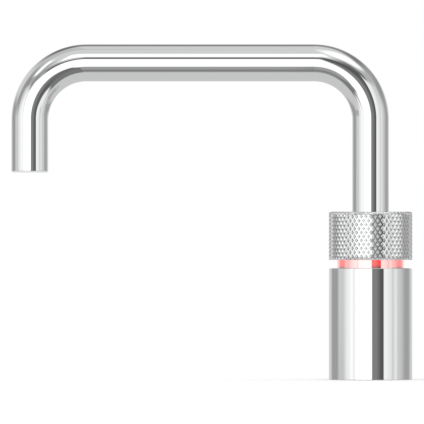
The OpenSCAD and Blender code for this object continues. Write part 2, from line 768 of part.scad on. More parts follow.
// Hub inside the knob: bearing on the carrier, skirt round the light ring, stop slot
module knob_hub() {
    slot_start = stop_pin_angle - turn_angle - stop_spare - stop_half;
    slot_angle = turn_angle + 2 * stop_spare + 2 * stop_half;
    color(black_plastic) difference() {
        translate([0, 0, skirt_z]) cylinder(d = hub_d, h = hub_top_z - skirt_z);
        translate([0, 0, skirt_z - over]) cylinder(d = skirt_bore_d, h = hub_z - skirt_z + over);
        translate([0, 0, skirt_z]) cylinder(d = hub_bore_d, h = hub_top_z - skirt_z + over);
        translate([0, 0, hub_bearing_top_z])
            cylinder(d = hub_d - 2 * hub_rim_wall, h = hub_top_z - hub_bearing_top_z + over);
        translate([0, 0, hub_z - over]) rotate([0, 0, slot_start])
            rotate_extrude(angle = slot_angle)
                translate([hub_bore_d / 2 - over, 0])
                    square([(stop_slot_d - hub_bore_d) / 2 + over, stop_slot_h + over]);
        rotate([0, 0, detent_angle]) translate([0, 0, detent_z]) rotate([0, 90, 0])
            cylinder(d = ball_hole_d, h = hub_d);
        for (a = magnet_angles)
            rotate([0, 0, a]) translate([magnet_r, 0, skirt_z - over])
                cylinder(d = magnet_d, h = magnet_h + over);
    }
}

// Magnets in the hub's skirt, which the sensors on the lamp board read
module knob_magnets() {
    color(steel) for (a = magnet_angles)
        rotate([0, 0, a]) translate([magnet_r, 0, skirt_z]) cylinder(d = magnet_d, h = magnet_h);
}

// Ball that runs in the carrier's track
module detent_ball() {
    color(steel) rotate([0, 0, detent_angle]) translate([ball_place_r, 0, detent_z])
        sphere(d = ball_d);
}

// Spring between the ball and the knob's wall
module detent_spring() {
    color(steel) rotate([0, 0, detent_angle])
        translate([detent_spring_r, 0, detent_z]) rotate([0, 90, 0])
            coil((ball_d - 2 * detent_wire) / 2, detent_wire, detent_spring_h,
                detent_turns, detent_turns * detent_steps_per_turn);
}

// Carrier that slides down the core on a key and carries the turning hub
module knob_carrier() {
    key_r = core_d / 2 - carrier_key_depth;
    color(grey_plastic) translate([0, 0, carrier_z]) difference() {
        union() {
            difference() {
                union() {
                    cylinder(d = carrier_d, h = carrier_h);
                    cylinder(d = carrier_flange_d, h = carrier_flange_h);
                }
                translate([0, 0, -over]) cylinder(d = carrier_bore_d, h = carrier_h + 2 * over);
            }
            rotate([0, 0, carrier_key_angle]) translate([key_r, -carrier_key_w / 2, 0])
                cube([(carrier_bore_d + carrier_wall) / 2 - key_r, carrier_key_w, carrier_h]);
        }
        translate([0, 0, keeper_z - carrier_z])
            ring(carrier_d + 2 * over, keeper_groove_d, keeper_h);
        translate([0, 0, detent_h - track_w / 2])
            ring(carrier_d + 2 * over, carrier_d - 2 * track_depth, track_w);
        rotate([0, 0, stop_pin_angle]) translate([stop_pin_r, 0, -over])
            cylinder(d = stop_pin_d, h = carrier_flange_h + stop_pin_h + over);
    }
}

// Pin on the carrier's flange that stops the hub at both ends of its turn
module stop_pin() {
    color(steel) rotate([0, 0, stop_pin_angle]) translate([stop_pin_r, 0, carrier_z])
        cylinder(d = stop_pin_d, h = carrier_flange_h + stop_pin_h);
}

// Ring that keeps the hub on the carrier
module hub_keeper() {
    color(steel) translate([0, 0, keeper_z])
        open_ring(keeper_groove_d + 2 * keeper_w, keeper_groove_d, keeper_h, ring_gap);
}

// Spring that lifts the knob again
module knob_spring() {
    color(steel) translate([0, 0, spring_z])
        coil(spring_mean_r, spring_wire, spring_h, spring_turns,
            spring_turns * coil_steps_per_turn);
}

// Core: foot flange, centring spigot, threaded shank and guide bore in one turned piece
module core() {
    groove_r = core_bore_d / 2 + lift_key_depth + slip;
    color(brass) difference() {
        union() {
            translate([0, 0, -shank_h]) cylinder(d = core_d, h = shank_h + core_h);
            cylinder(d = foot_d, h = foot_h);
            translate([0, 0, -spigot_h]) cylinder(d = spigot_d, h = spigot_h);
        }
        translate([0, 0, -shank_h - over])
            cylinder(d = core_bore_d, h = shank_h + core_h + 2 * over);
        // recess for the gasket
        translate([0, 0, -over])
            ring(gasket_d, gasket_bore_d, gasket_h + over);
        // groove for the lift sleeve's key
        translate([0, 0, lift_key_z - end_play]) rotate([0, 0, lift_key_angle])
            translate([0, -lift_key_w / 2 - key_slip, 0])
                cube([groove_r, lift_key_w + 2 * key_slip, core_h - lift_key_z + over]);
        // groove for the carrier's key
        translate([0, 0, carrier_z - push_travel - end_play])
            rotate([0, 0, carrier_key_angle])
                translate([core_d / 2 - carrier_key_depth - slip,
                        -carrier_key_w / 2 - key_slip, 0])
                    cube([core_d, carrier_key_w + 2 * key_slip, core_h]);
        // grooves for the retaining rings
        for (z = [holder_ring_z, seat_ring_z, top_ring_z])
            translate([0, 0, z]) ring(core_d + 2 * over, core_groove_d, ring_h);
        // hole for the lamp lead
        translate([0, 0, lead_z]) rotate([-90, 0, 0]) cylinder(d = lead_hole_d, h = core_d);
        // threaded hole for the grub screw
        translate([0, grub_tip_y, grub_z]) rotate([-90, 0, 0]) cylinder(d = grub_d, h = foot_d);
    }
}

// Retaining rings on the core: below the board holder, below the spring seat, above the carrier
module core_rings() {
    color(steel) for (z = [holder_ring_z, seat_ring_z, top_ring_z])
        translate([0, 0, z]) rotate([0, 0, stop_pin_angle])
            open_ring(core_ring_d, core_groove_d, ring_h, ring_gap);
}

// Bush that guides the spout at the core's top
module upper_bush() {
    color(grey_plastic) translate([0, 0, core_h - bush_h]) difference() {
        union() {
            cylinder(d = core_bore_d - 2 * close, h = bush_h);
            translate([0, 0, bush_h])
                cylinder(d = core_bore_d + 2 * bush_flange_w, h = bush_flange_h);
        }
        translate([0, 0, -over])
            cylinder(d = lift_sleeve_bore_d, h = bush_h + bush_flange_h + 2 * over);
    }
}

// Outer sleeve of the base with its inward rim
module base_sleeve() {
    color(chrome) difference() {
        rotate_extrude() difference() {
            square([body_d / 2, base_h]);
            square([base_bore_d / 2, rim_z]);
            square([light_d / 2 + slip, base_h + over]);
            translate([body_d / 2 - base_edge_r, base_h - base_edge_r]) corner_cut(base_edge_r);
        }
        translate([0, 0, grub_z]) rotate([-90, 0, 0]) cylinder(d = grub_d, h = body_d);
    }
}

// Grub screw behind the base that locks the sleeve to the foot
module base_screw() {
    color(steel) translate([0, grub_tip_y, grub_z]) rotate([-90, 0, 0]) difference() {
        cylinder(d = grub_d, h = grub_h);
        translate([0, 0, grub_h - grub_socket_h])
            cylinder(d = grub_socket_d, h = grub_socket_h + over, $fn = hex);
    }
}

// Gasket under the foot
module foot_gasket() {
    color(black_rubber) ring(gasket_d, gasket_bore_d, gasket_h);
}

// Light ring: polished neck in the gap, flange under the rim, skirt on the lamp board
module light_ring() {
    skirt_base_z = light_flange_z - light_skirt_h;
    color(lamp_red) rotate_extrude() difference() {
        union() {
            translate([light_bore_d / 2, skirt_base_z])
                square([light_skirt_wall, light_skirt_h]);
            translate([0, light_flange_z]) square([light_flange_d / 2, light_flange_h]);
            translate([0, light_flange_z]) square([light_d / 2, light_top_z - light_flange_z]);
        }
        square([light_bore_d / 2, light_top_z + over]);
    }
}

// Round board that carries the lamps and the knob's sensors
module lamp_board() {
    color(board_green) translate([0, 0, board_z]) ring(board_d, board_bore_d, board_h);
}

// Lamps below the light ring
module lamps() {
    color("white") for (i = [0 : lamp_count - 1])
        rotate([0, 0, 360 * i / lamp_count])
            translate([lamp_r - lamp_w / 2, -lamp_l / 2, board_z + board_h])
                cube([lamp_w, lamp_l, lamp_h]);
}

// Sensors that read the knob's magnets
module knob_sensors() {
    color(black_plastic) for (a = magnet_angles)
        rotate([0, 0, a])
            translate([sensor_r - sensor_w / 2, -sensor_l / 2, board_z + board_h])
                cube([sensor_w, sensor_l, sensor_h]);
}

// Holder of the lamp board, with a hole for the lead
module board_holder() {
    color(black_plastic) translate([0, 0, holder_z]) difference() {
        ring(foot_d, core_d + 2 * slip, holder_h);
        translate([0, lead_out_y, -over]) cylinder(d = lead_d + 2 * slip, h = holder_h + 2 * over);
    }
}

// Washer on which the knob spring stands
module spring_seat() {
    color(steel) translate([0, 0, seat_z])
        ring(light_bore_d - 2 * slip, core_d + 2 * close, spring_seat_h);
}

// Riser pipe with the grooved head that slides in the water sleeve
module riser() {
    color(brass) difference() {
        union() {
            translate([0, 0, riser_foot_z]) cylinder(d = riser_d, h = riser_top_z - riser_foot_z);
            translate([0, 0, riser_top_z - riser_head_h])
                cylinder(d = riser_head_d, h = riser_head_h);
        }
        translate([0, 0, riser_foot_z - over])
            cylinder(d = riser_bore_d, h = riser_top_z - riser_foot_z + 2 * over);
        for (side = [-1, 1])
            translate([0, 0, riser_top_z - riser_head_h / 2 + side * head_seal_pitch / 2
                    - head_seal_d / 2 - close])
                ring(riser_head_d + 2 * over, riser_head_d - 2 * head_groove_depth,
                    head_seal_d + 2 * close);
    }
}

// Two seals on the riser's head
module riser_seals() {
    outer_d = riser_head_d - 2 * head_groove_depth + 2 * head_seal_d;
    color(black_rubber) for (side = [-1, 1])
        translate([0, 0, riser_top_z - riser_head_h / 2 + side * head_seal_pitch / 2])
            seal(outer_d, head_seal_d);
}

// Plug that closes the shank and carries the riser, the tail and the gland
module bottom_plug() {
    color(brass) difference() {
        union() {
            translate([0, 0, plug_z]) cylinder(d = core_bore_d - 2 * close, h = plug_h);
            translate([0, 0, plug_flange_z]) cylinder(d = plug_flange_d, h = plug_flange_h);
        }
        translate([0, 0, plug_flange_z - over])
            cylinder(d = riser_d + 2 * close, h = plug_flange_h + plug_h + 2 * over);
        translate([0, gland_y, plug_flange_z - over])
            cylinder(d = gland_thread_d, h = plug_flange_h + plug_h + 2 * over);
    }
}

// Supply tail for the boiling water hose, screwed into the plug
module supply_tail() {
    color(brass) difference() {
        union() {
            translate([0, 0, plug_flange_z]) cylinder(d = riser_d, h = supply_thread_h);
            translate([0, 0, supply_hex_z])
                cylinder(d = supply_hex_af / cos(180 / hex), h = supply_hex_h, $fn = hex);
            translate([0, 0, supply_end_z]) cylinder(d = supply_d, h = supply_h);
        }
        translate([0, 0, supply_end_z - over])
            cylinder(d = riser_bore_d, h = supply_h + supply_hex_h + supply_thread_h + 2 * over);
    }
}

// Gland in the plug for the lamp cable
module cable_gland() {
    color(black_plastic) translate([0, gland_y, plug_flange_z]) difference() {
        union() {
            translate([0, 0, -supply_hex_h]) cylinder(d = gland_cap_d, h = supply_hex_h);
            cylinder(d = gland_thread_d, h = plug_flange_h + plug_h);
        }
        translate([0, 0, -supply_hex_h - over])
            cylinder(d = gland_bore_d, h = supply_hex_h + plug_flange_h + plug_h + 2 * over);
    }
}

// Lead from the gland, through the hole in the core and up to the lamp board
module lamp_lead() {
    low_z = plug_z + plug_h;
    color(lead_grey) {
        translate([0, gland_y, low_z]) cylinder(d = lead_d, h = lead_z - lead_bend_r - low_z);
        translate([0, gland_y + lead_bend_r, lead_z - lead_bend_r]) rotate([0, 0, -90])
            lead_bend();
        translate([0, gland_y + lead_bend_r, lead_z]) rotate([-90, 0, 0])
            cylinder(d = lead_d, h = lead_out_y - gland_y - 2 * lead_bend_r);
        translate([0, lead_out_y - lead_bend_r, lead_z + lead_bend_r]) rotate([0, 0, 90])
            mirror([0, 0, 1]) lead_bend();
        translate([0, lead_out_y, lead_z + lead_bend_r])
            cylinder(d = lead_d, h = board_z - lead_z - lead_bend_r);
    }
}

// Quarter bend of the lead, from +X to +Z
module lead_bend() {
    rotate([90, 0, 0]) rotate_extrude(angle = 90) translate([lead_bend_r, 0]) circle(d = lead_d);
}

// Rubber washer against the worktop's underside
module rubber_washer() {
    color(black_rubber) translate([0, 0, rubber_z]) ring(washer_d, washer_bore_d, rubber_h);
}

// Steel washer below the rubber one
module steel_washer() {
    color(steel) translate([0, 0, steel_z]) ring(washer_d, washer_bore_d, steel_h);
}

// Hexagon nut on the threaded shank
module mounting_nut() {
    corner_d = nut_af / cos(180 / hex);
    color(brass) translate([0, 0, nut_z]) difference() {
        intersection() {
            cylinder(d = corner_d, h = nut_h, $fn = hex);
            union() {
                cylinder(d1 = corner_d - 2 * nut_chamfer, d2 = corner_d, h = nut_chamfer);
                translate([0, 0, nut_chamfer]) cylinder(d = corner_d, h = nut_h - nut_chamfer);
            }
        }
        translate([0, 0, -over]) cylinder(d = core_d + 2 * slip, h = nut_h + 2 * over);
    }
}

spout_tube();
outlet_body();
outlet_seal();
flow_plate();
flow_plate_retainer();
spout_liner();
liner_spacers();
water_sleeve();
end_collar();
tube_ring();
lift_sleeve();
brake_ring();
knob_shell();
knob_hub();
knob_magnets();
detent_ball();
detent_spring();
knob_carrier();
stop_pin();
hub_keeper();
knob_spring();
core();
core_rings();
upper_bush();
base_sleeve();
base_screw();
foot_gasket();
light_ring();
lamp_board();
lamps();
knob_sensors();
board_holder();
spring_seat();
riser();
riser_seals();
bottom_plug();
supply_tail();
cable_gland();
lamp_lead();
rubber_washer();
steel_washer();
mounting_nut();
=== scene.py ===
"""Looks of the boiling water tap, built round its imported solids.

Sizes are in metres. The column stands on the worktop at the origin, the spout reaches toward -X,
and the user and the camera are at -Y.
"""

import bmesh
import bpy
import numpy as np
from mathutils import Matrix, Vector


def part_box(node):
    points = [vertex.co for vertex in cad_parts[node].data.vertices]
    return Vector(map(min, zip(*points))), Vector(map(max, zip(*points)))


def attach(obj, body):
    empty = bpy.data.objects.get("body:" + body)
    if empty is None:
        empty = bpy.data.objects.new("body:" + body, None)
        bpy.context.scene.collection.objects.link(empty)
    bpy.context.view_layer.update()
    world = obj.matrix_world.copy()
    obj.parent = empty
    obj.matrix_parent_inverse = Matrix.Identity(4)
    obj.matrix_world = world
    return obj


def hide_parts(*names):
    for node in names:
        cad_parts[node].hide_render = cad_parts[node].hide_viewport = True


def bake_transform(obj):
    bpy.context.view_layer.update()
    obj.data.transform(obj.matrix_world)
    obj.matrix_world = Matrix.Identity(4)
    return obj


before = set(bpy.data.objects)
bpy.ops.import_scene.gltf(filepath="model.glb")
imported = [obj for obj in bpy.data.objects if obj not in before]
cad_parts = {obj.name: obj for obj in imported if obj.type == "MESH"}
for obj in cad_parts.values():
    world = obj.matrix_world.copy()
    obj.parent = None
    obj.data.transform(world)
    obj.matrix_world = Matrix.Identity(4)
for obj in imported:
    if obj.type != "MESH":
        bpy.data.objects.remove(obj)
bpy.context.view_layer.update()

MM = 0.001


# Sizes

def high(node, axis):
    """Highest place of a solid along one axis."""
    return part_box(node)[1][axis]


def low(node, axis):
    """Lowest place of a solid along one axis."""
    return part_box(node)[0][axis]


def radius(node):
    """Half the width of a solid along Y."""
    return (high(node, 1) - low(node, 1)) / 2


TUBE_R = radius("spout_tube")
TUBE_WALL = 1.2 * MM
TUBE_FOOT_Z = low("end_collar", 2)
TUBE_EDGE = 0.25 * MM
GROOVE_Z = low("tube_ring", 2)
GROOVE_TOP_Z = high("tube_ring", 2)
GROOVE_DEPTH = 0.5 * MM
REACH = -low("spout_tube", 0) - TUBE_R
CROWN_Z = high("spout_tube", 2) - TUBE_R
BEND_R = 33.5 * MM
BEND_Z = CROWN_Z - BEND_R

LIP_H = 0.9 * MM
LIP_Z = low("outlet_body", 2)
OUTLET_Z = LIP_Z + LIP_H
LIP_R = TUBE_R - 0.4 * MM
PLUG_R = radius("outlet_seal") - 0.1 * MM
PLUG_TOP_Z = OUTLET_Z + 14 * MM
MOUTH_R = radius("flow_plate") + 0.05 * MM
STEP_Z = high("flow_plate", 2)
STEP_R = MOUTH_R - 0.7 * MM
FUNNEL_Z = PLUG_TOP_Z - 4 * MM
FUNNEL_TOP_Z = PLUG_TOP_Z - 2 * MM
TAIL_R = 2.75 * MM
TAIL_BORE_R = 1.8 * MM
SEAL_LOW_Z = low("outlet_seal", 2)
SEAL_TOP_Z = high("outlet_seal", 2)
SEAL_R = PLUG_R - 1 * MM

BODY_R = radius("base_sleeve")
BASE_H = high("base_sleeve", 2)
BASE_BORE_R = BODY_R - 1.55 * MM
RIM_Z = BASE_H - 2.5 * MM
BASE_EDGE = 0.4 * MM
GRUB_R = (high("base_screw", 2) - low("base_screw", 2)) / 2
GRUB_Z = (high("base_screw", 2) + low("base_screw", 2)) / 2

LIGHT_R = 19.7 * MM
LIGHT_BORE_R = 18 * MM
LIGHT_TOP_Z = high("light_ring", 2)
LIGHT_FLANGE_R = radius("light_ring")
LIGHT_FLANGE_Z = RIM_Z - 3.5 * MM
LIGHT_FLANGE_TOP_Z = RIM_Z - 0.1 * MM
LIGHT_SKIRT_Z = low("light_ring", 2)
LIGHT_SKIRT_R = LIGHT_BORE_R + 0.6 * MM

KNOB_Z = low("knob_shell", 2)
KNOB_TOP_Z = high("knob_shell", 2)
KNOB_BORE_R = BODY_R - 2.15 * MM
KNOB_CEILING_Z = KNOB_TOP_Z - 2 * MM
KNOB_HOLE_R = TUBE_R + 0.4 * MM
KNOB_LOW_EDGE = 0.5 * MM
KNOB_TOP_EDGE = 1.4 * MM
KNURL_COUNT = 54
KNURL_ROWS = 13


# Meshes worked out as arrays

def new_piece(name, points, faces, body, material):
    """A smooth piece from points and faces that stands for the solid of the same name. It rides on
    a body, or on none yet."""
    mesh = bpy.data.meshes.new(name)
    mesh.from_pydata(points.tolist(), [], faces)
    mesh.shade_smooth()
    mesh.materials.append(material)
    piece = bpy.data.objects.new(name + "_finished", mesh)
    bpy.context.scene.collection.objects.link(piece)
    if body:
        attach(piece, body)
    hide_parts(name)
    return piece


def rounded(corners, steps=6):
    """Closed outline from corners (r, s, edge radius), counter-clockwise. Each corner becomes an
    arc that touches both of its sides, so that every point has one normal. Returns the points
    and the normals, both (n, 2)."""
    corners = np.array(corners, float)
    at = corners[:, :2]
    points, normals = [], []
    for here, before, after, edge in zip(at, np.roll(at, 1, 0), np.roll(at, -1, 0), corners[:, 2]):
        into = (here - before) / np.linalg.norm(here - before)
        out = (after - here) / np.linalg.norm(after - here)
        normal = np.array([into[1], -into[0]])
        turn = np.arctan2(into[0] * out[1] - into[1] * out[0], into @ out)
        start = here - into * edge * np.tan(abs(turn) / 2)
        centre = start - np.sign(turn) * edge * normal
        angle = np.linspace(0, turn, steps + 1)[:, None]
        swung = normal * np.cos(angle) + into * np.sin(angle)
        points.append(centre + np.sign(turn) * edge * swung)
        normals.append(swung)
    return np.concatenate(points), np.concatenate(normals)


def with_stations(points, normals, stations):
    """The outline with one more point wherever a straight side crosses a station along s."""
    new_points, new_normals = [], []
    for p, q, n in zip(points, np.roll(points, -1, 0), normals):
        low_s, high_s = sorted((p[1], q[1]))
        inside = stations[(stations > low_s + TUBE_EDGE) & (stations < high_s - TUBE_EDGE)]
        inside = inside if q[1] > p[1] else inside[::-1]
        share = ((inside - p[1]) / (q[1] - p[1] or 1))[:, None]
        new_points.append(np.concatenate([p[None], p + (q - p) * share]))
        new_normals.append(np.repeat(n[None], len(inside) + 1, 0))
    return np.concatenate(new_points), np.concatenate(new_normals)


def ring_faces(rows, columns):
    """Quads of a grid that closes on itself both ways."""
    i, j = np.meshgrid(np.arange(rows), np.arange(columns), indexing="ij")
    up, round_ = (i + 1) % rows, (j + 1) % columns
    corners = [i * columns + j, i * columns + round_, up * columns + round_, up * columns + j]
    return np.stack(corners, -1).reshape(-1, 4)


def straight(s):
    """The column's axis: centre, sideways and up direction at each height s."""
    zero, one = np.zeros_like(s), np.ones_like(s)
    centre, side = np.stack([zero, zero, s], -1), np.stack([one, zero, zero], -1)
    return centre, side, np.stack([zero, zero, one], -1)


BEND_L = BEND_R * np.pi / 2
LEVEL_L = REACH - 2 * BEND_R
PATH_L = BEND_Z + 2 * BEND_L + LEVEL_L + BEND_Z - OUTLET_Z


def spout_path(s):
    """The spout's centre line at length s from the worktop: up the column, a quarter bend toward
    -X, level, a second quarter bend and down. Gives centre, sideways and onward direction."""
    first = np.clip((s - BEND_Z) / BEND_L, 0, 1)
    second = np.clip((s - BEND_Z - BEND_L - LEVEL_L) / BEND_L, 0, 1)
    heading = (first + second) * np.pi / 2
    level = np.clip(s - BEND_Z - BEND_L, 0, LEVEL_L)
    down = np.maximum(s - BEND_Z - 2 * BEND_L - LEVEL_L, 0)
    zero = np.zeros_like(s)
    side = np.stack([np.cos(heading), zero, np.sin(heading)], -1)
    onward = np.stack([-np.sin(heading), zero, np.cos(heading)], -1)
    bend_x = np.where(s > BEND_Z, -BEND_R - level, 0) + np.where(s > BEND_Z, BEND_R, 0) * side[:, 0]
    bend_z = np.where(s > BEND_Z, BEND_Z + BEND_R * side[:, 2], s) - down
    return np.stack([bend_x, zero, bend_z], -1), side, onward


def carried(outline, path, columns):
    """A closed outline (r, s) turned round a path: point = centre(s) + r (cos a side + sin a Y),
    with the outline's normals turned the same way. Returns points, normals and faces."""
    points, normals = outline
    centre, side, onward = path(points[:, 1])
    angle = np.arange(columns) * 2 * np.pi / columns
    depth = np.array([0.0, 1.0, 0.0])
    out = np.cos(angle)[None, :, None] * side[:, None] + np.sin(angle)[None, :, None] * depth
    place = centre[:, None] + points[:, 0, None, None] * out
    normal = normals[:, 0, None, None] * out + normals[:, 1, None, None] * onward[:, None]
    return place.reshape(-1, 3), normal.reshape(-1, 3), ring_faces(len(points), columns)


def carried_piece(name, outline, path, columns, body, material, offset=0):
    """A piece that is one closed outline carried round a path, moved along X by an offset."""
    points, normals, faces = carried(outline, path, columns)
    points[:, 0] += offset
    piece = new_piece(name, points, faces.tolist(), body, material)
    piece.data.normals_split_custom_set_from_vertices(normals.tolist())
    return piece


# Materials

def material(name):
    """An empty node material and its Principled shader."""
    made = bpy.data.materials.new(name)
    made.use_nodes = True
    return made, made.node_tree.nodes["Principled BSDF"]


def add(tree, kind, **values):
    """A node of one kind with its settings."""
    node = tree.nodes.new(kind)
    for key, value in values.items():
        setattr(node, key, value)
    return node


def wire(tree, source, target, value):
    """Joins an output to an input, or sets the input where the source is None."""
    if source is None:
        target.default_value = value
    else:
        tree.links.new(source, target)


def group(name, inputs, outputs):
    """An empty shader node group with float inputs and outputs, and its two end nodes."""
    tree = bpy.data.node_groups.new(name, "ShaderNodeTree")
    for label in inputs:
        tree.interface.new_socket(label, in_out="INPUT", socket_type="NodeSocketFloat")
    for label, kind in outputs.items():
        tree.interface.new_socket(label, in_out="OUTPUT", socket_type=kind)
    return tree, tree.nodes.new("NodeGroupInput"), tree.nodes.new("NodeGroupOutput")


def maths(tree, operation, *values):
    """A math node fed by sockets or plain numbers."""
    node = add(tree, "ShaderNodeMath", operation=operation)
    for socket, value in zip(node.inputs, values):
        if isinstance(value, (int, float)):
            socket.default_value = value
        else:
            tree.links.new(value, socket)
    return node.outputs[0]


RING_DRIFT = 0.06
NOISE_LOW, NOISE_HIGH = 0.3, 0.7
FINE_SCALE = 6.0


def finish_group(name, turned_marks):
    """Fine unevenness of a worked surface: a roughness that drifts between two values and a
    height of fine marks. Scale is in cells for each metre. On turned metal the marks are rings
    round the column: their noise is read at (distance from the axis, height), with a slow drift
    round the part."""
    tree, start, end = group(name, ("Scale", "Low", "High"),
                             {"Roughness": "NodeSocketFloat", "Height": "NodeSocketFloat"})
    marks = add(tree, "ShaderNodeTexCoord").outputs["Object"]
    if turned_marks:
        split = add(tree, "ShaderNodeSeparateXYZ")
        tree.links.new(marks, split.inputs[0])
        square = maths(tree, "MULTIPLY", split.outputs["X"], split.outputs["X"])
        square = maths(tree, "MULTIPLY_ADD", split.outputs["Y"], split.outputs["Y"], square)
        ring = add(tree, "ShaderNodeCombineXYZ")
        tree.links.new(maths(tree, "SQRT", square), ring.inputs["X"])
        tree.links.new(maths(tree, "MULTIPLY", split.outputs["X"], RING_DRIFT), ring.inputs["Y"])
        tree.links.new(split.outputs["Z"], ring.inputs["Z"])
        marks = ring.outputs[0]
    drift = add(tree, "ShaderNodeTexNoise")
    drift.inputs["Detail"].default_value = 3.0
    tree.links.new(marks, drift.inputs["Vector"])
    tree.links.new(start.outputs["Scale"], drift.inputs["Scale"])
    spread = add(tree, "ShaderNodeMapRange")
    spread.inputs["From Min"].default_value = NOISE_LOW
    spread.inputs["From Max"].default_value = NOISE_HIGH
    tree.links.new(drift.outputs[0], spread.inputs["Value"])
    tree.links.new(start.outputs["Low"], spread.inputs["To Min"])
    tree.links.new(start.outputs["High"], spread.inputs["To Max"])
    tree.links.new(spread.outputs[0], end.inputs["Roughness"])
    fine = add(tree, "ShaderNodeTexNoise")
    fine.inputs["Detail"].default_value = 2.0
    tree.links.new(marks, fine.inputs["Vector"])
    fine_scale = maths(tree, "MULTIPLY", start.outputs["Scale"], FINE_SCALE)
    tree.links.new(fine_scale, fine.inputs["Scale"])
    tree.links.new(fine.outputs[0], end.inputs["Height"])
    return tree


EVEN = finish_group("surface finish", turned_marks=False)
TURNED = finish_group("turned finish", turned_marks=True)


def finished(name, color, metallic, low_rough, high_rough, scale, depth, finish=EVEN):
    """A material of one colour whose roughness and marks come from a finish group."""
    made, shader = material(name)
    tree = made.node_tree
    shader.inputs["Base Color"].default_value = (*color, 1)
    shader.inputs["Metallic"].default_value = metallic
    marks = add(tree, "ShaderNodeGroup", node_tree=finish)
    marks.inputs["Scale"].default_value = scale
    marks.inputs["Low"].default_value = low_rough
    marks.inputs["High"].default_value = high_rough
    tree.links.new(marks.outputs["Roughness"], shader.inputs["Roughness"])
    bump = add(tree, "ShaderNodeBump")
    bump.inputs["Distance"].default_value = depth
    tree.links.new(marks.outputs["Height"], bump.inputs["Height"])
    tree.links.new(bump.outputs[0], shader.inputs["Normal"])
    return made


def polished_chrome():
    """Mirror chrome with a faint haze that drifts over the surface."""
    return finished("polished chrome", (0.895, 0.905, 0.902), 1.0, 0.015, 0.045, 90, 0.0001 * MM)


# Painted shade: the ring's glow dims over this band, down to its foot at the base's rim
PAINTED_SHADE_FOOT_Z = BASE_H - 0.6 * MM
PAINTED_SHADE_TOP_Z = BASE_H + 2.9 * MM
GLOW_IN_PAINTED_SHADE = 0.05
GLOW_COLOR = {"Red": 0.95, "Green": 0.012, "Blue": 0.006}


def lit_chrome():
    """Chrome with the red glow of the lamps below it, made weaker toward its foot by painted shade
    where the base's rim meets it.
    """
    made = finished("lit chrome", (0.90, 0.78, 0.765), 1.0, 0.02, 0.05, 90, 0.0001 * MM)
    tree = made.node_tree
    shader = tree.nodes["Principled BSDF"]
    place = add(tree, "ShaderNodeTexCoord")
    split = add(tree, "ShaderNodeSeparateXYZ")
    tree.links.new(place.outputs["Object"], split.inputs[0])
    # painted shade: strength of the glow, dimmed toward the ring's foot
    glow = add(tree, "ShaderNodeMapRange", interpolation_type="SMOOTHSTEP")
    glow.inputs["From Min"].default_value = PAINTED_SHADE_FOOT_Z
    glow.inputs["From Max"].default_value = PAINTED_SHADE_TOP_Z
    glow.inputs["To Min"].default_value = GLOW_IN_PAINTED_SHADE
    tree.links.new(split.outputs["Z"], glow.inputs["Value"])
    shade = add(tree, "ShaderNodeCombineColor")
    for channel, level in GLOW_COLOR.items():
        tree.links.new(maths(tree, "MULTIPLY", glow.outputs[0], level), shade.inputs[channel])
    tree.links.new(shade.outputs[0], shader.inputs["Emission Color"])
    shader.inputs["Emission Strength"].default_value = 1.0
    return made


def lamp_cap():
    """Clear cap of a lit red lamp."""
    made = finished("lamp cap", (0.95, 0.80, 0.76), 0.0, 0.1, 0.2, 900, 0.002 * MM)
    shader = made.node_tree.nodes["Principled BSDF"]
    shader.inputs["Emission Color"].default_value = (1.0, 0.08, 0.04, 1)
    shader.inputs["Emission Strength"].default_value = 1.5
    return made


FINISHES = {
    "polished_chrome": polished_chrome(),
    "lit_chrome": lit_chrome(),
    "brass": finished("turned brass", (0.74, 0.54, 0.27), 1.0, 0.2, 0.32, 400, 0.0008 * MM, TURNED),
    "spring_steel": finished("spring steel", (0.42, 0.43, 0.46), 1.0, 0.25, 0.4, 700, 0.001 * MM),
    "stainless_steel": finished("stainless steel", (0.66, 0.66, 0.66), 1.0, 0.2, 0.3, 500, 0.0005 * MM,
                                TURNED),
    "grey_polymer": finished("grey plastic", (0.78, 0.785, 0.79), 0.0, 0.35, 0.5, 500, 0.01 * MM),
    "white_polymer": finished("white plastic", (0.85, 0.85, 0.83), 0.0, 0.38, 0.5, 500, 0.01 * MM),
    "black_polymer": finished("black plastic", (0.03, 0.03, 0.032), 0.0, 0.4, 0.55, 500, 0.015 * MM),
    "black_rubber": finished("black rubber", (0.02, 0.02, 0.02), 0.0, 0.65, 0.85, 700, 0.03 * MM),
    "green_board": finished("green board", (0.02, 0.16, 0.06), 0.0, 0.15, 0.3, 400, 0.01 * MM),
    "lamp": lamp_cap(),
}


# Spout

TUBE_COLUMNS = 96
BEND_STEPS = 40


def spout_tube():
    """The tube: outer wall, bore and the retaining ring's groove, carried along the spout."""
    bore_r = TUBE_R - TUBE_WALL
    groove_r = TUBE_R - GROOVE_DEPTH
    sharp = 0.05 * MM
    outline = rounded([
        (TUBE_R, TUBE_FOOT_Z, TUBE_EDGE), (TUBE_R, GROOVE_Z, sharp), (groove_r, GROOVE_Z, sharp),
        (groove_r, GROOVE_TOP_Z, sharp), (TUBE_R, GROOVE_TOP_Z, sharp), (TUBE_R, PATH_L, TUBE_EDGE),
        (bore_r, PATH_L, TUBE_EDGE), (bore_r, TUBE_FOOT_Z, TUBE_EDGE),
    ])
    bend_steps = np.linspace(0, BEND_L, BEND_STEPS + 1)
    stations = np.concatenate([BEND_Z + bend_steps, BEND_Z + BEND_L + LEVEL_L + bend_steps])
    outline = with_stations(*outline, stations)
    carried_piece("spout_tube", outline, spout_path, TUBE_COLUMNS, "spout",
                  FINISHES["polished_chrome"])


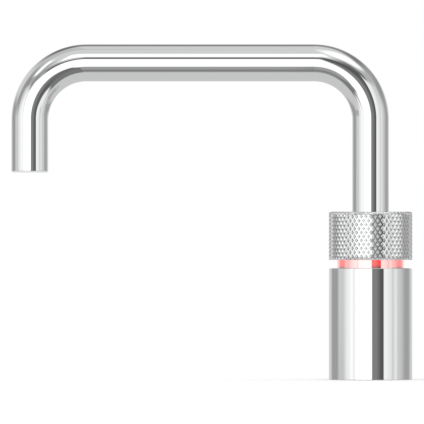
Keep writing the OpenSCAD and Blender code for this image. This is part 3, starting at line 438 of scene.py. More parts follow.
def outlet_body():
    """The plug in the spout's end: rounded lip, mouth, funnel, hose tail and seal groove."""
    edge = 0.2 * MM
    outline = rounded([
        (LIP_R, LIP_Z, LIP_H - 0.1 * MM), (LIP_R, OUTLET_Z, 0.05 * MM), (PLUG_R, OUTLET_Z, 0.05 * MM),
        (PLUG_R, SEAL_LOW_Z, edge), (SEAL_R, SEAL_LOW_Z, edge), (SEAL_R, SEAL_TOP_Z, edge),
        (PLUG_R, SEAL_TOP_Z, edge), (PLUG_R, PLUG_TOP_Z, 2 * edge), (TAIL_R, PLUG_TOP_Z, edge),
        (TAIL_R, high("outlet_body", 2), edge), (TAIL_BORE_R, high("outlet_body", 2), edge),
        (TAIL_BORE_R, FUNNEL_TOP_Z, edge), (STEP_R, FUNNEL_Z, edge), (STEP_R, STEP_Z, edge),
        (MOUTH_R, STEP_Z, edge), (MOUTH_R, LIP_Z, 2 * edge),
    ])
    carried_piece("outlet_body", outline, straight, TUBE_COLUMNS, "spout",
                  FINISHES["grey_polymer"], offset=-REACH)


# Column

RING_COLUMNS = 128


def light_ring():
    """The lit ring: neck in the gap, flange under the rim and skirt on the board."""
    edge = 0.15 * MM
    outline = rounded([
        (LIGHT_R, LIGHT_FLANGE_TOP_Z, edge), (LIGHT_R, LIGHT_TOP_Z, 2 * edge),
        (LIGHT_BORE_R, LIGHT_TOP_Z, 2 * edge), (LIGHT_BORE_R, LIGHT_SKIRT_Z, edge),
        (LIGHT_SKIRT_R, LIGHT_SKIRT_Z, edge), (LIGHT_SKIRT_R, LIGHT_FLANGE_Z, edge),
        (LIGHT_FLANGE_R, LIGHT_FLANGE_Z, 2 * edge), (LIGHT_FLANGE_R, LIGHT_FLANGE_TOP_Z, 2 * edge),
    ])
    carried_piece("light_ring", outline, straight, RING_COLUMNS, "column",
                  FINISHES["lit_chrome"])


BASE_COLUMNS = 192
BACK_COLUMN = BASE_COLUMNS // 4
HOLE_STEPS = 4
HOLE_FRAME = 2
HOLE_REACH = HOLE_STEPS + HOLE_FRAME
HOLE_HALF_H = 2.5 * MM
HOLE_EDGE = 0.2 * MM

# Lean of the normals down the hole, at its edge, its rounded mouth and its far end: along Y and
# toward the hole's axis
HOLE_LEANS = [(0.9, 0.45), (0.3, 1.0), (0.0, 1.0)]


def base_outline():
    """Outline of the sleeve with its inward rim, with rows of points round the screw's height."""
    edge = 0.25 * MM
    hole_r = LIGHT_R + 0.1 * MM
    outline = rounded([
        (BODY_R, 0, edge), (BODY_R, BASE_H, BASE_EDGE), (hole_r, BASE_H, edge),
        (hole_r, RIM_Z, edge), (BASE_BORE_R, RIM_Z, edge), (BASE_BORE_R, 0, edge),
    ])
    steps = np.arange(-HOLE_REACH, HOLE_REACH + 1)
    return with_stations(*outline, GRUB_Z + steps * HOLE_HALF_H / HOLE_STEPS)


def opened(points, outline, wall_r):
    """Makes room for the screw's hole in one wall. In a square of points behind the base, at
    distance c from its middle (the larger of the two counts of steps), the square up to c =
    HOLE_STEPS opens, and the points from there to c = HOLE_REACH go over from a circle to the
    square. Returns the outline's rows there, from below, and the indices round the opening."""
    square_half_h = HOLE_HALF_H * (HOLE_REACH + 0.5) / HOLE_STEPS
    rows = np.nonzero((abs(outline[:, 0] - wall_r) < TUBE_EDGE / 2)
                      & (abs(outline[:, 1] - GRUB_Z) < square_half_h))[0]
    rows = rows[np.argsort(outline[rows, 1])]
    step = np.arange(-HOLE_REACH, HOLE_REACH + 1)
    across, up = np.meshgrid(-step, step)
    index = rows[:, None] * BASE_COLUMNS + BACK_COLUMN + step
    far = np.maximum(abs(across), abs(up))
    hole_r = (GRUB_R + HOLE_EDGE) if wall_r == BODY_R else GRUB_R
    length = np.maximum(np.hypot(across, up), 1)
    share = np.clip((far - HOLE_STEPS) / HOLE_FRAME, 0, 1)
    x = across / length * hole_r * (1 - share) + points[index, 0] * share
    z = (GRUB_Z + up / length * hole_r) * (1 - share) + points[index, 2] * share
    points[index] = np.stack([x, np.sqrt(wall_r ** 2 - x ** 2), z], -1)
    side = np.arange(-HOLE_STEPS, HOLE_STEPS)
    far_side = np.full(2 * HOLE_STEPS, HOLE_STEPS)
    ring_across = np.concatenate([side, far_side, -side, -far_side])
    ring_up = np.concatenate([-far_side, side, far_side, -side])
    return rows, index[ring_up + HOLE_REACH, ring_across + HOLE_REACH]


def base_sleeve():
    """The polished sleeve with its inward rim and the round hole for the screw behind it."""
    outline, outline_normals = base_outline()
    points, normals, faces = carried((outline, outline_normals), straight, BASE_COLUMNS)
    outer_rows, outer = opened(points, outline, BODY_R)
    inner_rows, inner = opened(points, outline, BASE_BORE_R)
    for rows, sign in ((outer_rows, 1), (inner_rows, -1)):
        moved = rows[:, None] * BASE_COLUMNS + BACK_COLUMN + np.arange(-HOLE_REACH, HOLE_REACH + 1)
        flat = points[moved] * [1, 1, 0]
        normals[moved] = sign * flat / np.linalg.norm(flat, axis=-1, keepdims=True)

    row, column = faces[:, 0] // BASE_COLUMNS, faces[:, 0] % BASE_COLUMNS
    in_columns = (column >= BACK_COLUMN - HOLE_STEPS) & (column < BACK_COLUMN + HOLE_STEPS)
    first, last = HOLE_FRAME, HOLE_FRAME + 2 * HOLE_STEPS
    open_rows = np.concatenate([outer_rows[first:last], inner_rows[first + 1:last + 1]])
    kept = faces[~(in_columns & np.isin(row, open_rows))]

    # the hole's rounded mouth and its wall, between the openings of both walls
    spoke = points[outer] - [0, 0, GRUB_Z]
    spoke[:, 1] = 0
    spoke /= np.linalg.norm(spoke, axis=1, keepdims=True)
    mouth = spoke * GRUB_R + [0, 0, GRUB_Z]
    mouth[:, 1] = points[outer, 1] - HOLE_EDGE
    mouth_index = len(points) + np.arange(len(outer))
    points = np.concatenate([points, mouth])
    rings = np.stack([outer, mouth_index, inner])
    ahead = np.roll(rings, -1, 1)
    walls = np.stack([rings[:-1], ahead[:-1], ahead[1:], rings[1:]], -1)
    behind = np.array([0.0, 1.0, 0.0])
    bent = np.stack([behind * along_y - spoke * inward for along_y, inward in HOLE_LEANS])
    bent /= np.linalg.norm(bent, axis=-1, keepdims=True)
    bent_ahead = np.roll(bent, -1, 1)
    wall_normals = np.stack([bent[:-1], bent_ahead[:-1], bent_ahead[1:], bent[1:]], 2)

    used, kept_faces = np.unique(np.concatenate([kept, walls.reshape(-1, 4)]), return_inverse=True)
    corner_normals = np.concatenate([normals[kept].reshape(-1, 3), wall_normals.reshape(-1, 3)])
    piece = new_piece("base_sleeve", points[used], kept_faces.reshape(-1, 4).tolist(), "column",
                      FINISHES["polished_chrome"])
    piece.data.normals_split_custom_set(corner_normals.tolist())


THREAD_PITCH = 1.5 * MM
THREAD_DEPTH = 0.8 * MM
THREAD_PHASES = np.array([1, 7, 9, 15]) / 16
THREAD_CUTS = np.array([0.0, 1.0, 1.0, 0.0])
THREAD_NEAR = 0.02 * MM
THREAD_WELD = 0.002 * MM
THREAD_SLIVER = 0.001 * MM
THREAD_CREASE = np.radians(35)


def thread(ring_angle, shank_r, foot_z, top_z):
    """Helical thread on a shank, on a grid whose rows follow the helix: z = (turn + phase + angle
    / 360) pitches, r = shank radius less the cut at that phase. The cut fades over one pitch at
    both ends, where the rows press together on the end circles. Returns points and quads."""
    angle = np.append(ring_angle, ring_angle[0] + 2 * np.pi)
    turns = np.arange(-1, int((top_z - foot_z) / THREAD_PITCH) + 1)
    row_z = (foot_z + (turns[:, None] + THREAD_PHASES) * THREAD_PITCH).ravel()
    row_z = np.concatenate([[foot_z - 2 * THREAD_PITCH], row_z, [top_z + 2 * THREAD_PITCH]])
    cut = np.concatenate([[0], np.tile(THREAD_CUTS, len(turns)), [0]])
    z = np.clip(row_z[:, None] + (angle - angle[0]) / (2 * np.pi) * THREAD_PITCH, foot_z, top_z)
    fade = np.clip(np.minimum(z - foot_z, top_z - z) / THREAD_PITCH, 0, 1)
    r = shank_r - THREAD_DEPTH * cut[:, None] * fade
    points = np.stack([r * np.cos(angle), r * np.sin(angle), z], -1).reshape(-1, 3)
    i, j = np.meshgrid(np.arange(len(row_z) - 1), np.arange(len(ring_angle)), indexing="ij")
    corner = i * len(angle) + j
    above = corner + len(angle)
    return points, np.stack([corner, corner + 1, above + 1, above], -1).reshape(-1, 4)


def threaded_core():
    """The core's own solid with a real thread cut into its shank: the shank's plain wall, which is
    all triangles between its two end circles, gives way to the thread's grid."""
    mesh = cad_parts["core"].data
    points = np.empty(3 * len(mesh.vertices))
    mesh.vertices.foreach_get("co", points)
    points = points.reshape(-1, 3)
    corners = np.empty(len(mesh.loops), np.int32)
    mesh.loops.foreach_get("vertex_index", corners)
    triangles = corners.reshape(-1, 3)
    r, z = np.hypot(points[:, 0], points[:, 1]), points[:, 2]
    foot_z = z.min()
    shank_r = r[z < foot_z + THREAD_NEAR].max()
    on_shank = abs(r - shank_r) < THREAD_NEAR
    top_z = z[on_shank & (z > foot_z + THREAD_NEAR)].min()
    at_end = on_shank & (z < top_z + THREAD_NEAR)
    plain_wall = at_end[triangles].all(1)
    foot = points[at_end & (z < foot_z + THREAD_NEAR)]
    ring_angle = np.unique(np.arctan2(foot[:, 1], foot[:, 0]).round(5))
    cut_points, cut_faces = thread(ring_angle, shank_r, foot_z, top_z)
    faces = triangles[~plain_wall].tolist() + (cut_faces + len(points)).tolist()
    piece = new_piece("core", np.concatenate([points, cut_points]), faces, "column",
                      FINISHES["brass"])
    joined = bmesh.new()
    joined.from_mesh(piece.data)
    bmesh.ops.remove_doubles(joined, verts=joined.verts, dist=THREAD_WELD)
    bmesh.ops.dissolve_degenerate(joined, edges=joined.edges, dist=THREAD_SLIVER)
    joined.to_mesh(piece.data)
    joined.free()
    piece.data.set_sharp_from_angle(angle=THREAD_CREASE)
    return piece


SPRING_WIRE_R = 0.45 * MM
SPRING_R = radius("knob_spring") - SPRING_WIRE_R
SPRING_TURNS = 4
SPRING_STEPS = 48
SPRING_SIDES = 12
SPRING_CREASE = np.radians(50)
SPRING_OPENS = [0.6, 1.1, SPRING_TURNS - 1.1, SPRING_TURNS - 0.6]


def knob_spring():
    """The spring under the knob's carrier: a round wire carried along a helix. Each turn rises by
    one wire, so that the end turns lie closed, and the middle turns share the rest of the height."""
    foot_z, top_z = low("knob_spring", 2), high("knob_spring", 2)
    turn = np.linspace(0, SPRING_TURNS, SPRING_TURNS * SPRING_STEPS + 1)
    opened_way = np.cumsum(np.interp(turn, SPRING_OPENS, [0, 1, 1, 0]))
    closed_rise = 2 * SPRING_WIRE_R * turn
    spare = top_z - foot_z - 2 * SPRING_WIRE_R - closed_rise[-1]
    z = foot_z + SPRING_WIRE_R + closed_rise + spare * opened_way / opened_way[-1]
    angle = 2 * np.pi * turn
    zero = np.zeros_like(turn)
    out = np.stack([np.cos(angle), np.sin(angle), zero], -1)
    onward = np.gradient(out * SPRING_R + z[:, None] * [0, 0, 1], axis=0)
    onward /= np.linalg.norm(onward, axis=1, keepdims=True)
    across = np.cross(onward, out)
    side = (np.arange(SPRING_SIDES) * 2 * np.pi / SPRING_SIDES)[None, :, None]
    points = out[:, None] * (SPRING_R + SPRING_WIRE_R * np.cos(side)) + z[:, None, None] * [0, 0, 1]
    points = (points + SPRING_WIRE_R * np.sin(side) * across[:, None]).reshape(-1, 3)
    tube = ring_faces(len(turn), SPRING_SIDES)[:-SPRING_SIDES].tolist()
    ends = [list(range(SPRING_SIDES))[::-1], list(range(len(points) - SPRING_SIDES, len(points)))]
    piece = new_piece("knob_spring", points, tube + ends, None,
                      FINISHES["spring_steel"])
    piece.data.set_sharp_from_angle(angle=SPRING_CREASE)
    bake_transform(piece)


# Knob

ARC_STEPS = 8
KNURL_WALL_N = 2 * (ARC_STEPS + 1)
KNURL_W = np.pi * BODY_R / KNURL_COUNT
KNURL_H = 2.338 * MM
KNURL_START = 0.20 * MM
KNURL_TURN = 0.14
KNURL_BLEND = 0.1 * MM
KNURL_SHARES = np.array([0.25, 0.33, 0.66, 0.80])
KNURL_SLOPES = np.array([0.0, 0.02, 1.15, 0.95, 0.20, 0.0])


def knob_outline():
    """Closed outline of the knob's shell, from the foot of the wall outside."""
    edge = 0.2 * MM
    return rounded([
        (BODY_R, KNOB_Z, KNOB_LOW_EDGE), (BODY_R, KNOB_TOP_Z, KNOB_TOP_EDGE),
        (KNOB_HOLE_R, KNOB_TOP_Z, edge), (KNOB_HOLE_R, KNOB_CEILING_Z, edge),
        (KNOB_BORE_R, KNOB_CEILING_Z, edge), (KNOB_BORE_R, KNOB_Z, edge),
    ], steps=ARC_STEPS)


def knurl_path(outline, outline_normal):
    """The stretch of the outline that the knurl's rows cover: from the rounded foot of the wall to
    a little inside the rim of the top. Returns length, points and normals."""
    wall, normal = outline[:KNURL_WALL_N], outline_normal[:KNURL_WALL_N]
    length = np.concatenate([[0], np.cumsum(np.linalg.norm(np.diff(wall, axis=0), axis=1))])
    in_top = KNURL_START + KNURL_ROWS * KNURL_H - length[-1]
    wall = np.concatenate([wall, wall[-1:] - [[in_top, 0]]])
    normal = np.concatenate([normal, [[0, 1]]])
    return np.append(length, length[-1] + in_top), wall, normal


def knurl_grid(outline, outline_normal):
    """The knurl on the wall's outline, on a grid of half diamonds (x round, y up). Where x + y is
    even stands a peak, and where it is odd two grooves cross. Each grid side has points at the
    same shares of the way from its crossing to its peak, where the depth has the same value. The
    depth is measured in from the wall's radius, so that the grooves run out in the rounded edges.
    Returns x, y, points, outward and onward direction, weight and the three tables of indices."""
    columns, rows, stops = 2 * KNURL_COUNT, KNURL_ROWS, len(KNURL_SHARES)
    length, wall, wall_normal = knurl_path(outline, outline_normal)
    i, j = np.meshgrid(np.arange(columns), np.arange(rows + 1), indexing="ij")
    peak = ((i + j) % 2 == 0)[..., None]
    flat_x = i[..., None] + np.where(peak, 1 - KNURL_SHARES, KNURL_SHARES)
    up_y = j[:, :-1, None] + np.where(peak[:, :-1], 1 - KNURL_SHARES, KNURL_SHARES)
    x = np.concatenate([i.ravel(), flat_x.ravel(), np.repeat(i[:, :-1].ravel(), stops)])
    y = np.concatenate([j.ravel(), np.repeat(j.ravel(), stops), up_y.ravel()])

    half_pitch = KNURL_W * KNURL_H / np.hypot(KNURL_W, KNURL_H)
    steps = np.diff(np.concatenate([[0], KNURL_SHARES, [1]]))
    rise = np.cumsum((KNURL_SLOPES[1:] + KNURL_SLOPES[:-1]) / 2 * steps) * half_pitch
    depth = np.concatenate([
        np.where(peak, 0, rise[-1]).ravel(),
        np.tile(rise[-1] - rise[:-1], i.size + i[:, :-1].size),
    ])
    along = KNURL_START + y * KNURL_H
    at = np.stack([np.interp(along, length, wall[:, c]) for c in (0, 1)], -1)
    out = np.stack([np.interp(along, length, wall_normal[:, c]) for c in (0, 1)], -1)
    out /= np.linalg.norm(out, axis=1, keepdims=True)
    inset = BODY_R - at[:, 0]
    at[:, 0] -= np.maximum(depth - inset, 0)
    weight = np.clip(1 - inset / (depth + KNURL_BLEND), 0, 1)
    points, outward = turned(at, x), turned(out, x)
    onward = turned(np.stack([-out[:, 1], out[:, 0]], -1), x)
    nodes = i * (rows + 1) + j
    flats = i.size + nodes[..., None] * stops + np.arange(stops)
    ups = flats.size + i.size + (i[:, :-1] * rows + j[:, :-1])[..., None] * stops + np.arange(stops)
    return x, y, points, outward, onward, weight, (nodes, flats, ups)


def turned(outline, x):
    """Points (r, s) turned to x half diamonds round the axis, less the knurl's own small turn."""
    angle = (x - KNURL_TURN) * np.pi / KNURL_COUNT
    return np.stack([outline[:, 0] * np.cos(angle), outline[:, 0] * np.sin(angle), outline[:, 1]], -1)


def knurl_strips(tables):
    """Faces of the knurl, as strips between the two sides that meet at each peak, and for each
    face corner its slope round and up the wall. Yields one kind of strip after another."""
    nodes, flats, ups = tables
    columns, rows = 2 * KNURL_COUNT, KNURL_ROWS
    right = (np.arange(columns) + 1) % columns
    i, j = np.meshgrid(np.arange(columns), np.arange(rows), indexing="ij")
    for peak_right, peak_top in ((0, 0), (1, 1), (1, 0), (0, 1)):
        ci, cj = np.nonzero((i + j + peak_right + peak_top) % 2 == 0)
        peak_i, other_i = (right[ci], ci) if peak_right else (ci, right[ci])
        peak_j, other_j = cj + peak_top, cj + 1 - peak_top
        peak = nodes[peak_i, peak_j][:, None]
        flat = np.concatenate([nodes[other_i, peak_j][:, None], flats[ci, peak_j], peak], 1)
        up = np.concatenate([nodes[peak_i, other_j][:, None], ups[peak_i, cj], peak], 1)
        uphill = np.array([(2 * peak_right - 1) * KNURL_H, (2 * peak_top - 1) * KNURL_W])
        uphill /= np.hypot(KNURL_W, KNURL_H)
        for step in range(len(KNURL_SLOPES) - 1):
            corners = [flat[:, step], up[:, step], up[:, step + 1], flat[:, step + 1]]
            slope = [KNURL_SLOPES[step]] * 2 + [KNURL_SLOPES[step + 1]] * 2
            last = step == len(KNURL_SLOPES) - 2
            corners, slope = (corners[:3], slope[:3]) if last else (corners, slope)
            if peak_right != peak_top:
                corners, slope = corners[::-1], slope[::-1]
            yield np.stack(corners, 1), np.array(slope)[:, None] * uphill


def knob_shell():
    """The knurled shell. The knurl follows the outside of the shell's outline, and the rest of
    the outline, on the same angles, closes the shell: top, spout hole, ceiling and bore."""
    outline, outline_normal = knob_outline()
    x, y, points, outward, onward, weight, tables = knurl_grid(outline, outline_normal)
    faces, corner_normals = [], []
    round_ = np.stack([-outward[:, 1], outward[:, 0], np.zeros(len(x))], -1)
    round_ /= np.maximum(np.linalg.norm(round_, axis=1, keepdims=True), MM)
    for corners, slope in knurl_strips(tables):
        tilt = slope[None, :, :] * weight[corners][..., None]
        normal = outward[corners] - tilt[..., :1] * round_[corners] - tilt[..., 1:] * onward[corners]
        faces += corners.tolist()
        corner_normals.append((normal / np.linalg.norm(normal, axis=-1, keepdims=True)).reshape(-1, 3))

    top, foot = (np.nonzero(y == end)[0] for end in (KNURL_ROWS, 0))
    top, foot = top[np.argsort(x[top])], foot[np.argsort(x[foot])]
    rest, rest_normal = outline[KNURL_WALL_N:], outline_normal[KNURL_WALL_N:]
    ring_x = np.tile(x[top], len(rest))
    rings = len(points) + np.arange(len(ring_x)).reshape(len(rest), -1)
    rings = np.concatenate([top[None], rings, foot[None]])
    points = np.concatenate([points, turned(np.repeat(rest, len(top), 0), ring_x)])
    outward = np.concatenate([outward, turned(np.repeat(rest_normal, len(top), 0), ring_x)])
    ahead = np.roll(rings, -1, 1)
    closing = np.stack([rings[:-1], ahead[:-1], ahead[1:], rings[1:]], -1).reshape(-1, 4)
    faces += closing.tolist()
    corner_normals.append(outward[closing].reshape(-1, 3))

    piece = new_piece("knob_shell", points, faces, "knob",
                      FINISHES["polished_chrome"])
    piece.data.normals_split_custom_set(np.concatenate(corner_normals).tolist())


spout_tube()
outlet_body()
light_ring()
base_sleeve()
core = threaded_core()
knob_spring()
knob_shell()


# Materials of the solids that stay

SLOT_NODES = {
    "brass": ["end_collar", "riser", "bottom_plug", "supply_tail", "mounting_nut"],
    "spring_steel": ["tube_ring", "hub_keeper", "core_rings", "detent_spring"],
    "stainless_steel": ["flow_plate", "flow_plate_retainer", "knob_magnets", "detent_ball", "stop_pin",
                        "base_screw", "spring_seat", "steel_washer"],
    "grey_polymer": ["lift_sleeve", "knob_carrier", "upper_bush"],
    "white_polymer": ["spout_liner", "liner_spacers", "water_sleeve"],
    "black_polymer": ["knob_hub", "knob_sensors", "board_holder", "cable_gland", "lamp_lead"],
    "black_rubber": ["outlet_seal", "brake_ring", "foot_gasket", "riser_seals", "rubber_washer"],
    "green_board": ["lamp_board"],
    "lamp": ["lamps"],
}
for slot_name, node_names in SLOT_NODES.items():
    for node_name in node_names:
        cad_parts[node_name].data.materials.clear()
        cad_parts[node_name].data.materials.append(FINISHES[slot_name])


# The worktop hides these from the chrome above it, which would mirror them through the clear floor
BELOW_WORKTOP = ("rubber_washer", "steel_washer", "mounting_nut", "bottom_plug", "supply_tail",
                 "cable_gland")
for below in (core, *(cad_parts[node_name] for node_name in BELOW_WORKTOP)):
    below.visible_glossy = False


# Studio: plain walls with soft lamps and dark flags, which the metal mirrors

WHITE = 255
GAMMA = 2.2


def grey(level):
    """Linear strength of a grey given on the 0 to 255 scale of a picture."""
    return (level / WHITE) ** GAMMA


def card_group():
    """Mask of a soft-edged card between two azimuths and two elevations, in degrees. Azimuth 0 is
    at -Y and turns toward +X. Lean, the elevation over the front's own horizon, keeps an edge
    straight where elevation would bend it."""
    inputs = ("Azimuth", "Elevation", "Left", "Right", "Foot", "Top",
              "Soft Left", "Soft Right", "Soft Up")
    tree, start, end = group("soft card", inputs, {"Mask": "NodeSocketFloat"})
    sides = []
    for angle, edge, soft, sign in (
        ("Azimuth", "Left", "Soft Left", 1.0), ("Azimuth", "Right", "Soft Right", -1.0),
        ("Elevation", "Foot", "Soft Up", 1.0), ("Elevation", "Top", "Soft Up", -1.0),
    ):
        inside = maths(tree, "SUBTRACT", start.outputs[angle], start.outputs[edge])
        inside = maths(tree, "MULTIPLY", inside, sign)
        step = add(tree, "ShaderNodeMapRange", interpolation_type="SMOOTHSTEP")
        tree.links.new(inside, step.inputs["Value"])
        tree.links.new(maths(tree, "MULTIPLY", start.outputs[soft], -1.0), step.inputs["From Min"])
        tree.links.new(start.outputs[soft], step.inputs["From Max"])
        sides.append(step.outputs[0])
    across_mask = maths(tree, "MULTIPLY", sides[0], sides[1])
    up_mask = maths(tree, "MULTIPLY", sides[2], sides[3])
    tree.links.new(maths(tree, "MULTIPLY", across_mask, up_mask), end.inputs["Mask"])
    return tree


# An angle past any other, so that a card goes all the way round or up
ROUND = 999
AROUND, BOTH, ACROSS = "azimuth and elevation", "the same on both sides", "azimuth and lean"

# Cards of the studio, each laid over the ones before: how it is measured, azimuth from and to,
# elevation from and to, grey level (255 is a lamp), softness of the left, right and level edges
CARDS = [
    # upper half of the walls, dark ceiling behind the object, white behind it
    (AROUND, -ROUND, ROUND, 0, ROUND, 205, 1, 1, 12),
    (AROUND, -ROUND, -151, 26, 56, 126, 1, 8, 10),
    (AROUND, 99, ROUND, 27, 55, 132, 6, 1, 8),
    (BOTH, 160, ROUND, -3, 13, 250, 22, 1, 4),
    # left and right: shaded strips of the back walls
    (AROUND, -150, -86, 38, ROUND, 184, 8, 6, 8),
    (AROUND, -104, -76, 6, 46, 152, 4, 8, 8),
    (AROUND, -136, -101.5, -20, 13, 153, 5, 5, 6),
    (AROUND, 96, 138, -21, 50, 170, 12, 9, 5),
    (AROUND, 107, 131, -21, 50, 155, 7, 7, 5),
    (AROUND, 90, 109, -48, -18, 148, 5, 5, 4),
    (AROUND, -144, -125, -23, -8, 150, 6, 3, 4),
    (AROUND, 92, 152, 15, 31, 144, 18, 10, 8),
    (AROUND, 108, 145, -19, -8, 150, 8, 6, 4),
    # lamps above: left, middle, right with a halo
    (AROUND, -74, -57, 36, 54, 255, 4, 6, 3),
    (AROUND, -27, 13, 37, 56.5, 255, 5, 2, 1.5),
    (AROUND, 14, 118, 45, ROUND, 230, 8, 12, 5),
    (AROUND, 27, 96, 47, 77, 255, 6, 8, 5),
    # dark edge above the front lamp, and shade between it and the lamps above
    (AROUND, -51, -38, 30, 47, 160, 7, 7, 6),
    (AROUND, -78, -52, 25, 34, 165, 4, 3, 1.5),
    (AROUND, -54, -20, 27.5, 35, 152, 4, 3, 1.5),
    (AROUND, -6, 10, 27.5, 35, 152, 2, 3, 1.5),
    (AROUND, -53, 10, 19, 29.1, 104, 4, 3, 1.5),
    (AROUND, 46, 94, 30, 43, 172, 5, 5, 4),
    (AROUND, 4, 52, 10, 35.5, 90, 2, 7, 9),
    (AROUND, 20, 44, 20, 46, 104, 10, 14, 13),
    # paler spots of that edge
    (AROUND, 4, 16, 35, 41, 215, 4, 6, 6),
    (AROUND, -55, -30, 24.5, 28.5, 146, 5, 3, 2),
    (AROUND, -36, -29, 24, 27.5, 190, 3, 3, 2),
    # darker spots high up on both sides, which the outer rims of the bends mirror
    (AROUND, 96, 145, 42, 56, 128, 26, 8, 6),
    (AROUND, 134, 152, 35, 46, 106, 12, 8, 5),
    (AROUND, -165, -138, 33, 54, 100, 4, 12, 8),
    (AROUND, -92, -70, 26, 34.5, 142, 5, 5, 4),
    # dark pool below the front lamp, with a paler left end
    (ACROSS, -62, 60, -62, -14, 155, 4, 4, 0.6),
    (ACROSS, -62, 60, -56, -43, 124, 4, 4, 6),
    (ACROSS, -62, -32.5, -51, -14, 117, 4, 4, 4),
    (ACROSS, 0, 60, -60.5, -14, 117, 0.8, 4, 2),
    (AROUND, -61, -50, -25, -17, 212, 5, 5, 6),
    # left: pale wall with a brighter band next to the lamp, and a shaded strip farther round
    (AROUND, -75, -30, -14, 14, 237, 10, 2, 12),
    (AROUND, -59, -50, -20, 20, 253, 4, 4, 8),
    (AROUND, -116, -76, -12, -5, 154, 6, 8, 2.5),
    # front: lamp, darker at its left corners, and the dark flag on its right
    (AROUND, -43, 8, -24.2, 21.9, 255, 2, 1, 1),
    (AROUND, -41, -30, -30, -19.5, 130, 2, 4, 3),
    (AROUND, 3.2, 40, -32, 29, 124, 1.5, 1, 5),
    (AROUND, 3.2, 40, 17, 32, 86, 1.5, 1, 5),
    (AROUND, 1.2, 40, -32, -15, 104, 1.5, 1, 5),
    (AROUND, 22, 40, -26, 29, 84, 9, 1, 3),
    (AROUND, -44, -37, 18, 23, 185, 3, 4, 3),
    # right: pale cards, darker at their corners
    (AROUND, 67, 78, -24, 12, 227, 5, 5, 12),
    (AROUND, 36.2, 60, -33, 29, 230, 1.5, 6, 3),
    (AROUND, 36.2, 48, -29, 28, 240, 1.5, 5, 4),
    (AROUND, 32, 39, -40, -12, 118, 1.5, 1.5, 5),
    (AROUND, 50, 66, -37, -32, 192, 6, 5, 3),
    (AROUND, 51, 64, -31, -15, 235, 5, 5, 4),
    (AROUND, 40, 48.5, 28.5, 36, 92, 3, 3, 3),
]


# Share of the light that chrome gives back, then the strengths of a lamp, of the walls' lower
# half and of the even light on everything that isn't metal
MIRROR = 0.9
LAMP = 1.25
WALL_LOW = grey(195) / MIRROR
EVEN_LEVEL = 1.02

STUDIO_R = 3.4
STUDIO_SIDES = 64
FLOOR_R = 3.0
FLOOR_SIDES = 128
FLOOR_GAP = 0.1 * MM
FLOOR_ROUGH = 0.9
SOFT_LAMP_SIZE = 1.2
SOFT_LAMP_WATTS = 3.0
SOFT_LAMP_PLACE = (-0.9, -1.3, 1.6)
SOFT_LAMP_AIM = (-0.1, 0, 0.1)


def studio_paint():
    """Glowing paint of the studio's walls: grey, with each card in its place as seen from the
    middle of the studio."""
    made = bpy.data.materials.new("studio paint")
    made.use_nodes = True
    made.cycles.emission_sampling = "NONE"
    tree = made.node_tree
    tree.nodes.clear()
    place = add(tree, "ShaderNodeTexCoord")
    way = add(tree, "ShaderNodeVectorMath", operation="NORMALIZE")
    tree.links.new(place.outputs["Object"], way.inputs[0])
    split = add(tree, "ShaderNodeSeparateXYZ")
    tree.links.new(way.outputs[0], split.inputs[0])
    toward = maths(tree, "MULTIPLY", split.outputs["Y"], -1.0)
    azimuth, elevation, lean = (
        maths(tree, "MULTIPLY", angle, 180 / np.pi) for angle in (
            maths(tree, "ARCTAN2", split.outputs["X"], toward),
            maths(tree, "ARCSINE", split.outputs["Z"]),
            maths(tree, "ARCTAN2", split.outputs["Z"], toward),
        )
    )
    off_front = maths(tree, "ABSOLUTE", azimuth)
    angles = {AROUND: (azimuth, elevation), BOTH: (off_front, elevation), ACROSS: (azimuth, lean)}
    card_tree = card_group()
    light = None
    for measured, left, right, foot, top, level, *soft in CARDS:
        mask = add(tree, "ShaderNodeGroup", node_tree=card_tree)
        for socket, angle in zip(mask.inputs, angles[measured]):
            tree.links.new(angle, socket)
        for socket, value in zip(list(mask.inputs)[2:], (left, right, foot, top, *soft)):
            socket.default_value = value
        over = add(tree, "ShaderNodeMix", data_type="FLOAT")
        tree.links.new(mask.outputs[0], over.inputs["Factor"])
        wire(tree, light, over.inputs["A"], WALL_LOW)
        over.inputs["B"].default_value = LAMP if level == WHITE else grey(level) / MIRROR
        light = over.outputs[0]
    glow = add(tree, "ShaderNodeEmission")
    tree.links.new(light, glow.inputs["Color"])
    tree.links.new(glow.outputs[0], add(tree, "ShaderNodeOutputMaterial").inputs["Surface"])
    return made


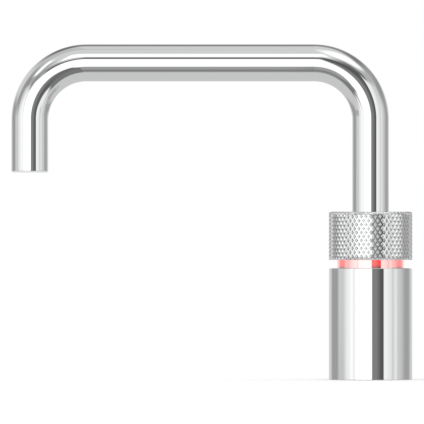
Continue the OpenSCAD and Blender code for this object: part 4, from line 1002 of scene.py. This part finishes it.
def studio():
    """The studio. The camera sees plain white. Metal mirrors a round wall with soft lamps, pale
    cards and dark flags, whose middle is at the height of the spout over the column. All other
    light is one even level."""
    turn = np.arange(STUDIO_SIDES) * 2 * np.pi / STUDIO_SIDES
    rise = np.linspace(-np.pi / 2, np.pi / 2, STUDIO_SIDES // 2 + 1)[1:-1, None]
    out, up = np.cos(rise), np.repeat(np.sin(rise), STUDIO_SIDES, 1)
    rings = np.stack([out * np.cos(turn), out * np.sin(turn), up], -1)
    points = STUDIO_R * np.concatenate([rings.reshape(-1, 3), [[0, 0, -1], [0, 0, 1]]])
    sides = ring_faces(len(rise), STUDIO_SIDES)[:-STUDIO_SIDES]
    first = np.arange(STUDIO_SIDES)
    ahead = np.roll(first, -1)
    last = (len(rise) - 1) * STUDIO_SIDES
    foot = np.stack([ahead, first, np.full(STUDIO_SIDES, len(points) - 2)], -1)
    roof = np.stack([first + last, ahead + last, np.full(STUDIO_SIDES, len(points) - 1)], -1)
    mesh = bpy.data.meshes.new("studio_wall")
    mesh.from_pydata(points.tolist(), [], sides.tolist() + foot.tolist() + roof.tolist())
    mesh.materials.append(studio_paint())
    wall = bpy.data.objects.new("studio_wall", mesh)
    wall.location = (0, 0, CROWN_Z)
    bpy.context.scene.collection.objects.link(wall)
    wall.visible_camera = False
    wall.visible_diffuse = False
    wall.visible_shadow = False

    world = bpy.data.worlds.new("studio")
    bpy.context.scene.world = world
    world.use_nodes = True
    tree = world.node_tree
    tree.nodes.clear()
    even = add(tree, "ShaderNodeBackground")
    even.inputs["Strength"].default_value = EVEN_LEVEL
    plain = add(tree, "ShaderNodeBackground")
    for shader in (even, plain):
        shader.inputs["Color"].default_value = (1, 1, 1, 1)
    ray = add(tree, "ShaderNodeLightPath")
    to_camera = add(tree, "ShaderNodeMixShader")
    tree.links.new(ray.outputs["Is Camera Ray"], to_camera.inputs["Fac"])
    tree.links.new(even.outputs[0], to_camera.inputs[1])
    tree.links.new(plain.outputs[0], to_camera.inputs[2])
    end = add(tree, "ShaderNodeOutputWorld")
    tree.links.new(to_camera.outputs[0], end.inputs["Surface"])


def worktop():
    """A pale round floor just below the base. It is clear from below, so that the parts under
    the worktop show from there, and metal doesn't mirror it."""
    made, shader = material("pale floor")
    tree = made.node_tree
    shader.inputs["Base Color"].default_value = (1, 1, 1, 1)
    shader.inputs["Roughness"].default_value = FLOOR_ROUGH
    shader.inputs["Specular IOR Level"].default_value = 0.0
    side = add(tree, "ShaderNodeNewGeometry")
    clear = add(tree, "ShaderNodeBsdfTransparent")
    mix = add(tree, "ShaderNodeMixShader")
    tree.links.new(side.outputs["Backfacing"], mix.inputs["Fac"])
    tree.links.new(shader.outputs[0], mix.inputs[1])
    tree.links.new(clear.outputs[0], mix.inputs[2])
    tree.links.new(mix.outputs[0], tree.nodes["Material Output"].inputs["Surface"])
    angle = np.linspace(0, 2 * np.pi, FLOOR_SIDES, endpoint=False)
    height = np.full(FLOOR_SIDES, -FLOOR_GAP)
    rim = np.stack([FLOOR_R * np.cos(angle), FLOOR_R * np.sin(angle), height], -1)
    mesh = bpy.data.meshes.new("worktop")
    mesh.from_pydata(rim.tolist(), [], [list(range(FLOOR_SIDES))])
    mesh.materials.append(made)
    floor = bpy.data.objects.new("worktop", mesh)
    bpy.context.scene.collection.objects.link(floor)
    floor.visible_glossy = False


def soft_lamp():
    """One wide lamp above the user's left shoulder, for the shadow and the matt pieces."""
    data = bpy.data.lights.new("soft lamp", "AREA")
    data.shape = "DISK"
    data.size = SOFT_LAMP_SIZE
    data.energy = SOFT_LAMP_WATTS
    lamp = bpy.data.objects.new("soft lamp", data)
    lamp.location = SOFT_LAMP_PLACE
    lamp.rotation_euler = (Vector(SOFT_LAMP_AIM) - lamp.location).to_track_quat("-Z", "Y").to_euler()
    lamp.visible_glossy = False
    bpy.context.scene.collection.objects.link(lamp)


# Camera: level, far away and narrow, so that the view has almost no perspective

CAMERA_AWAY = 8.0

# Pixels of the photograph: its side, the axes of the two legs and the foot of the base
PHOTO_SIDE = 424
AXIS_X = 370.55
OUTLET_X = 29.9
FOOT_Y = 379.6


def camera():
    """A camera whose frame is the photograph's: both legs of the spout and the foot of the base
    lie at their pixels."""
    pixel = REACH / (AXIS_X - OUTLET_X)
    data = bpy.data.cameras.new("camera")
    data.angle = 2 * np.arctan(PHOTO_SIDE / 2 * pixel / CAMERA_AWAY)
    eye = bpy.data.objects.new("camera", data)
    eye.location = ((PHOTO_SIDE / 2 - AXIS_X) * pixel, -CAMERA_AWAY, (FOOT_Y - PHOTO_SIDE / 2) * pixel)
    eye.rotation_euler = (np.pi / 2, 0, 0)
    bpy.context.scene.collection.objects.link(eye)
    bpy.context.scene.camera = eye


studio()
worktop()
soft_lamp()
camera()
bpy.context.scene.view_settings.view_transform = "Standard"
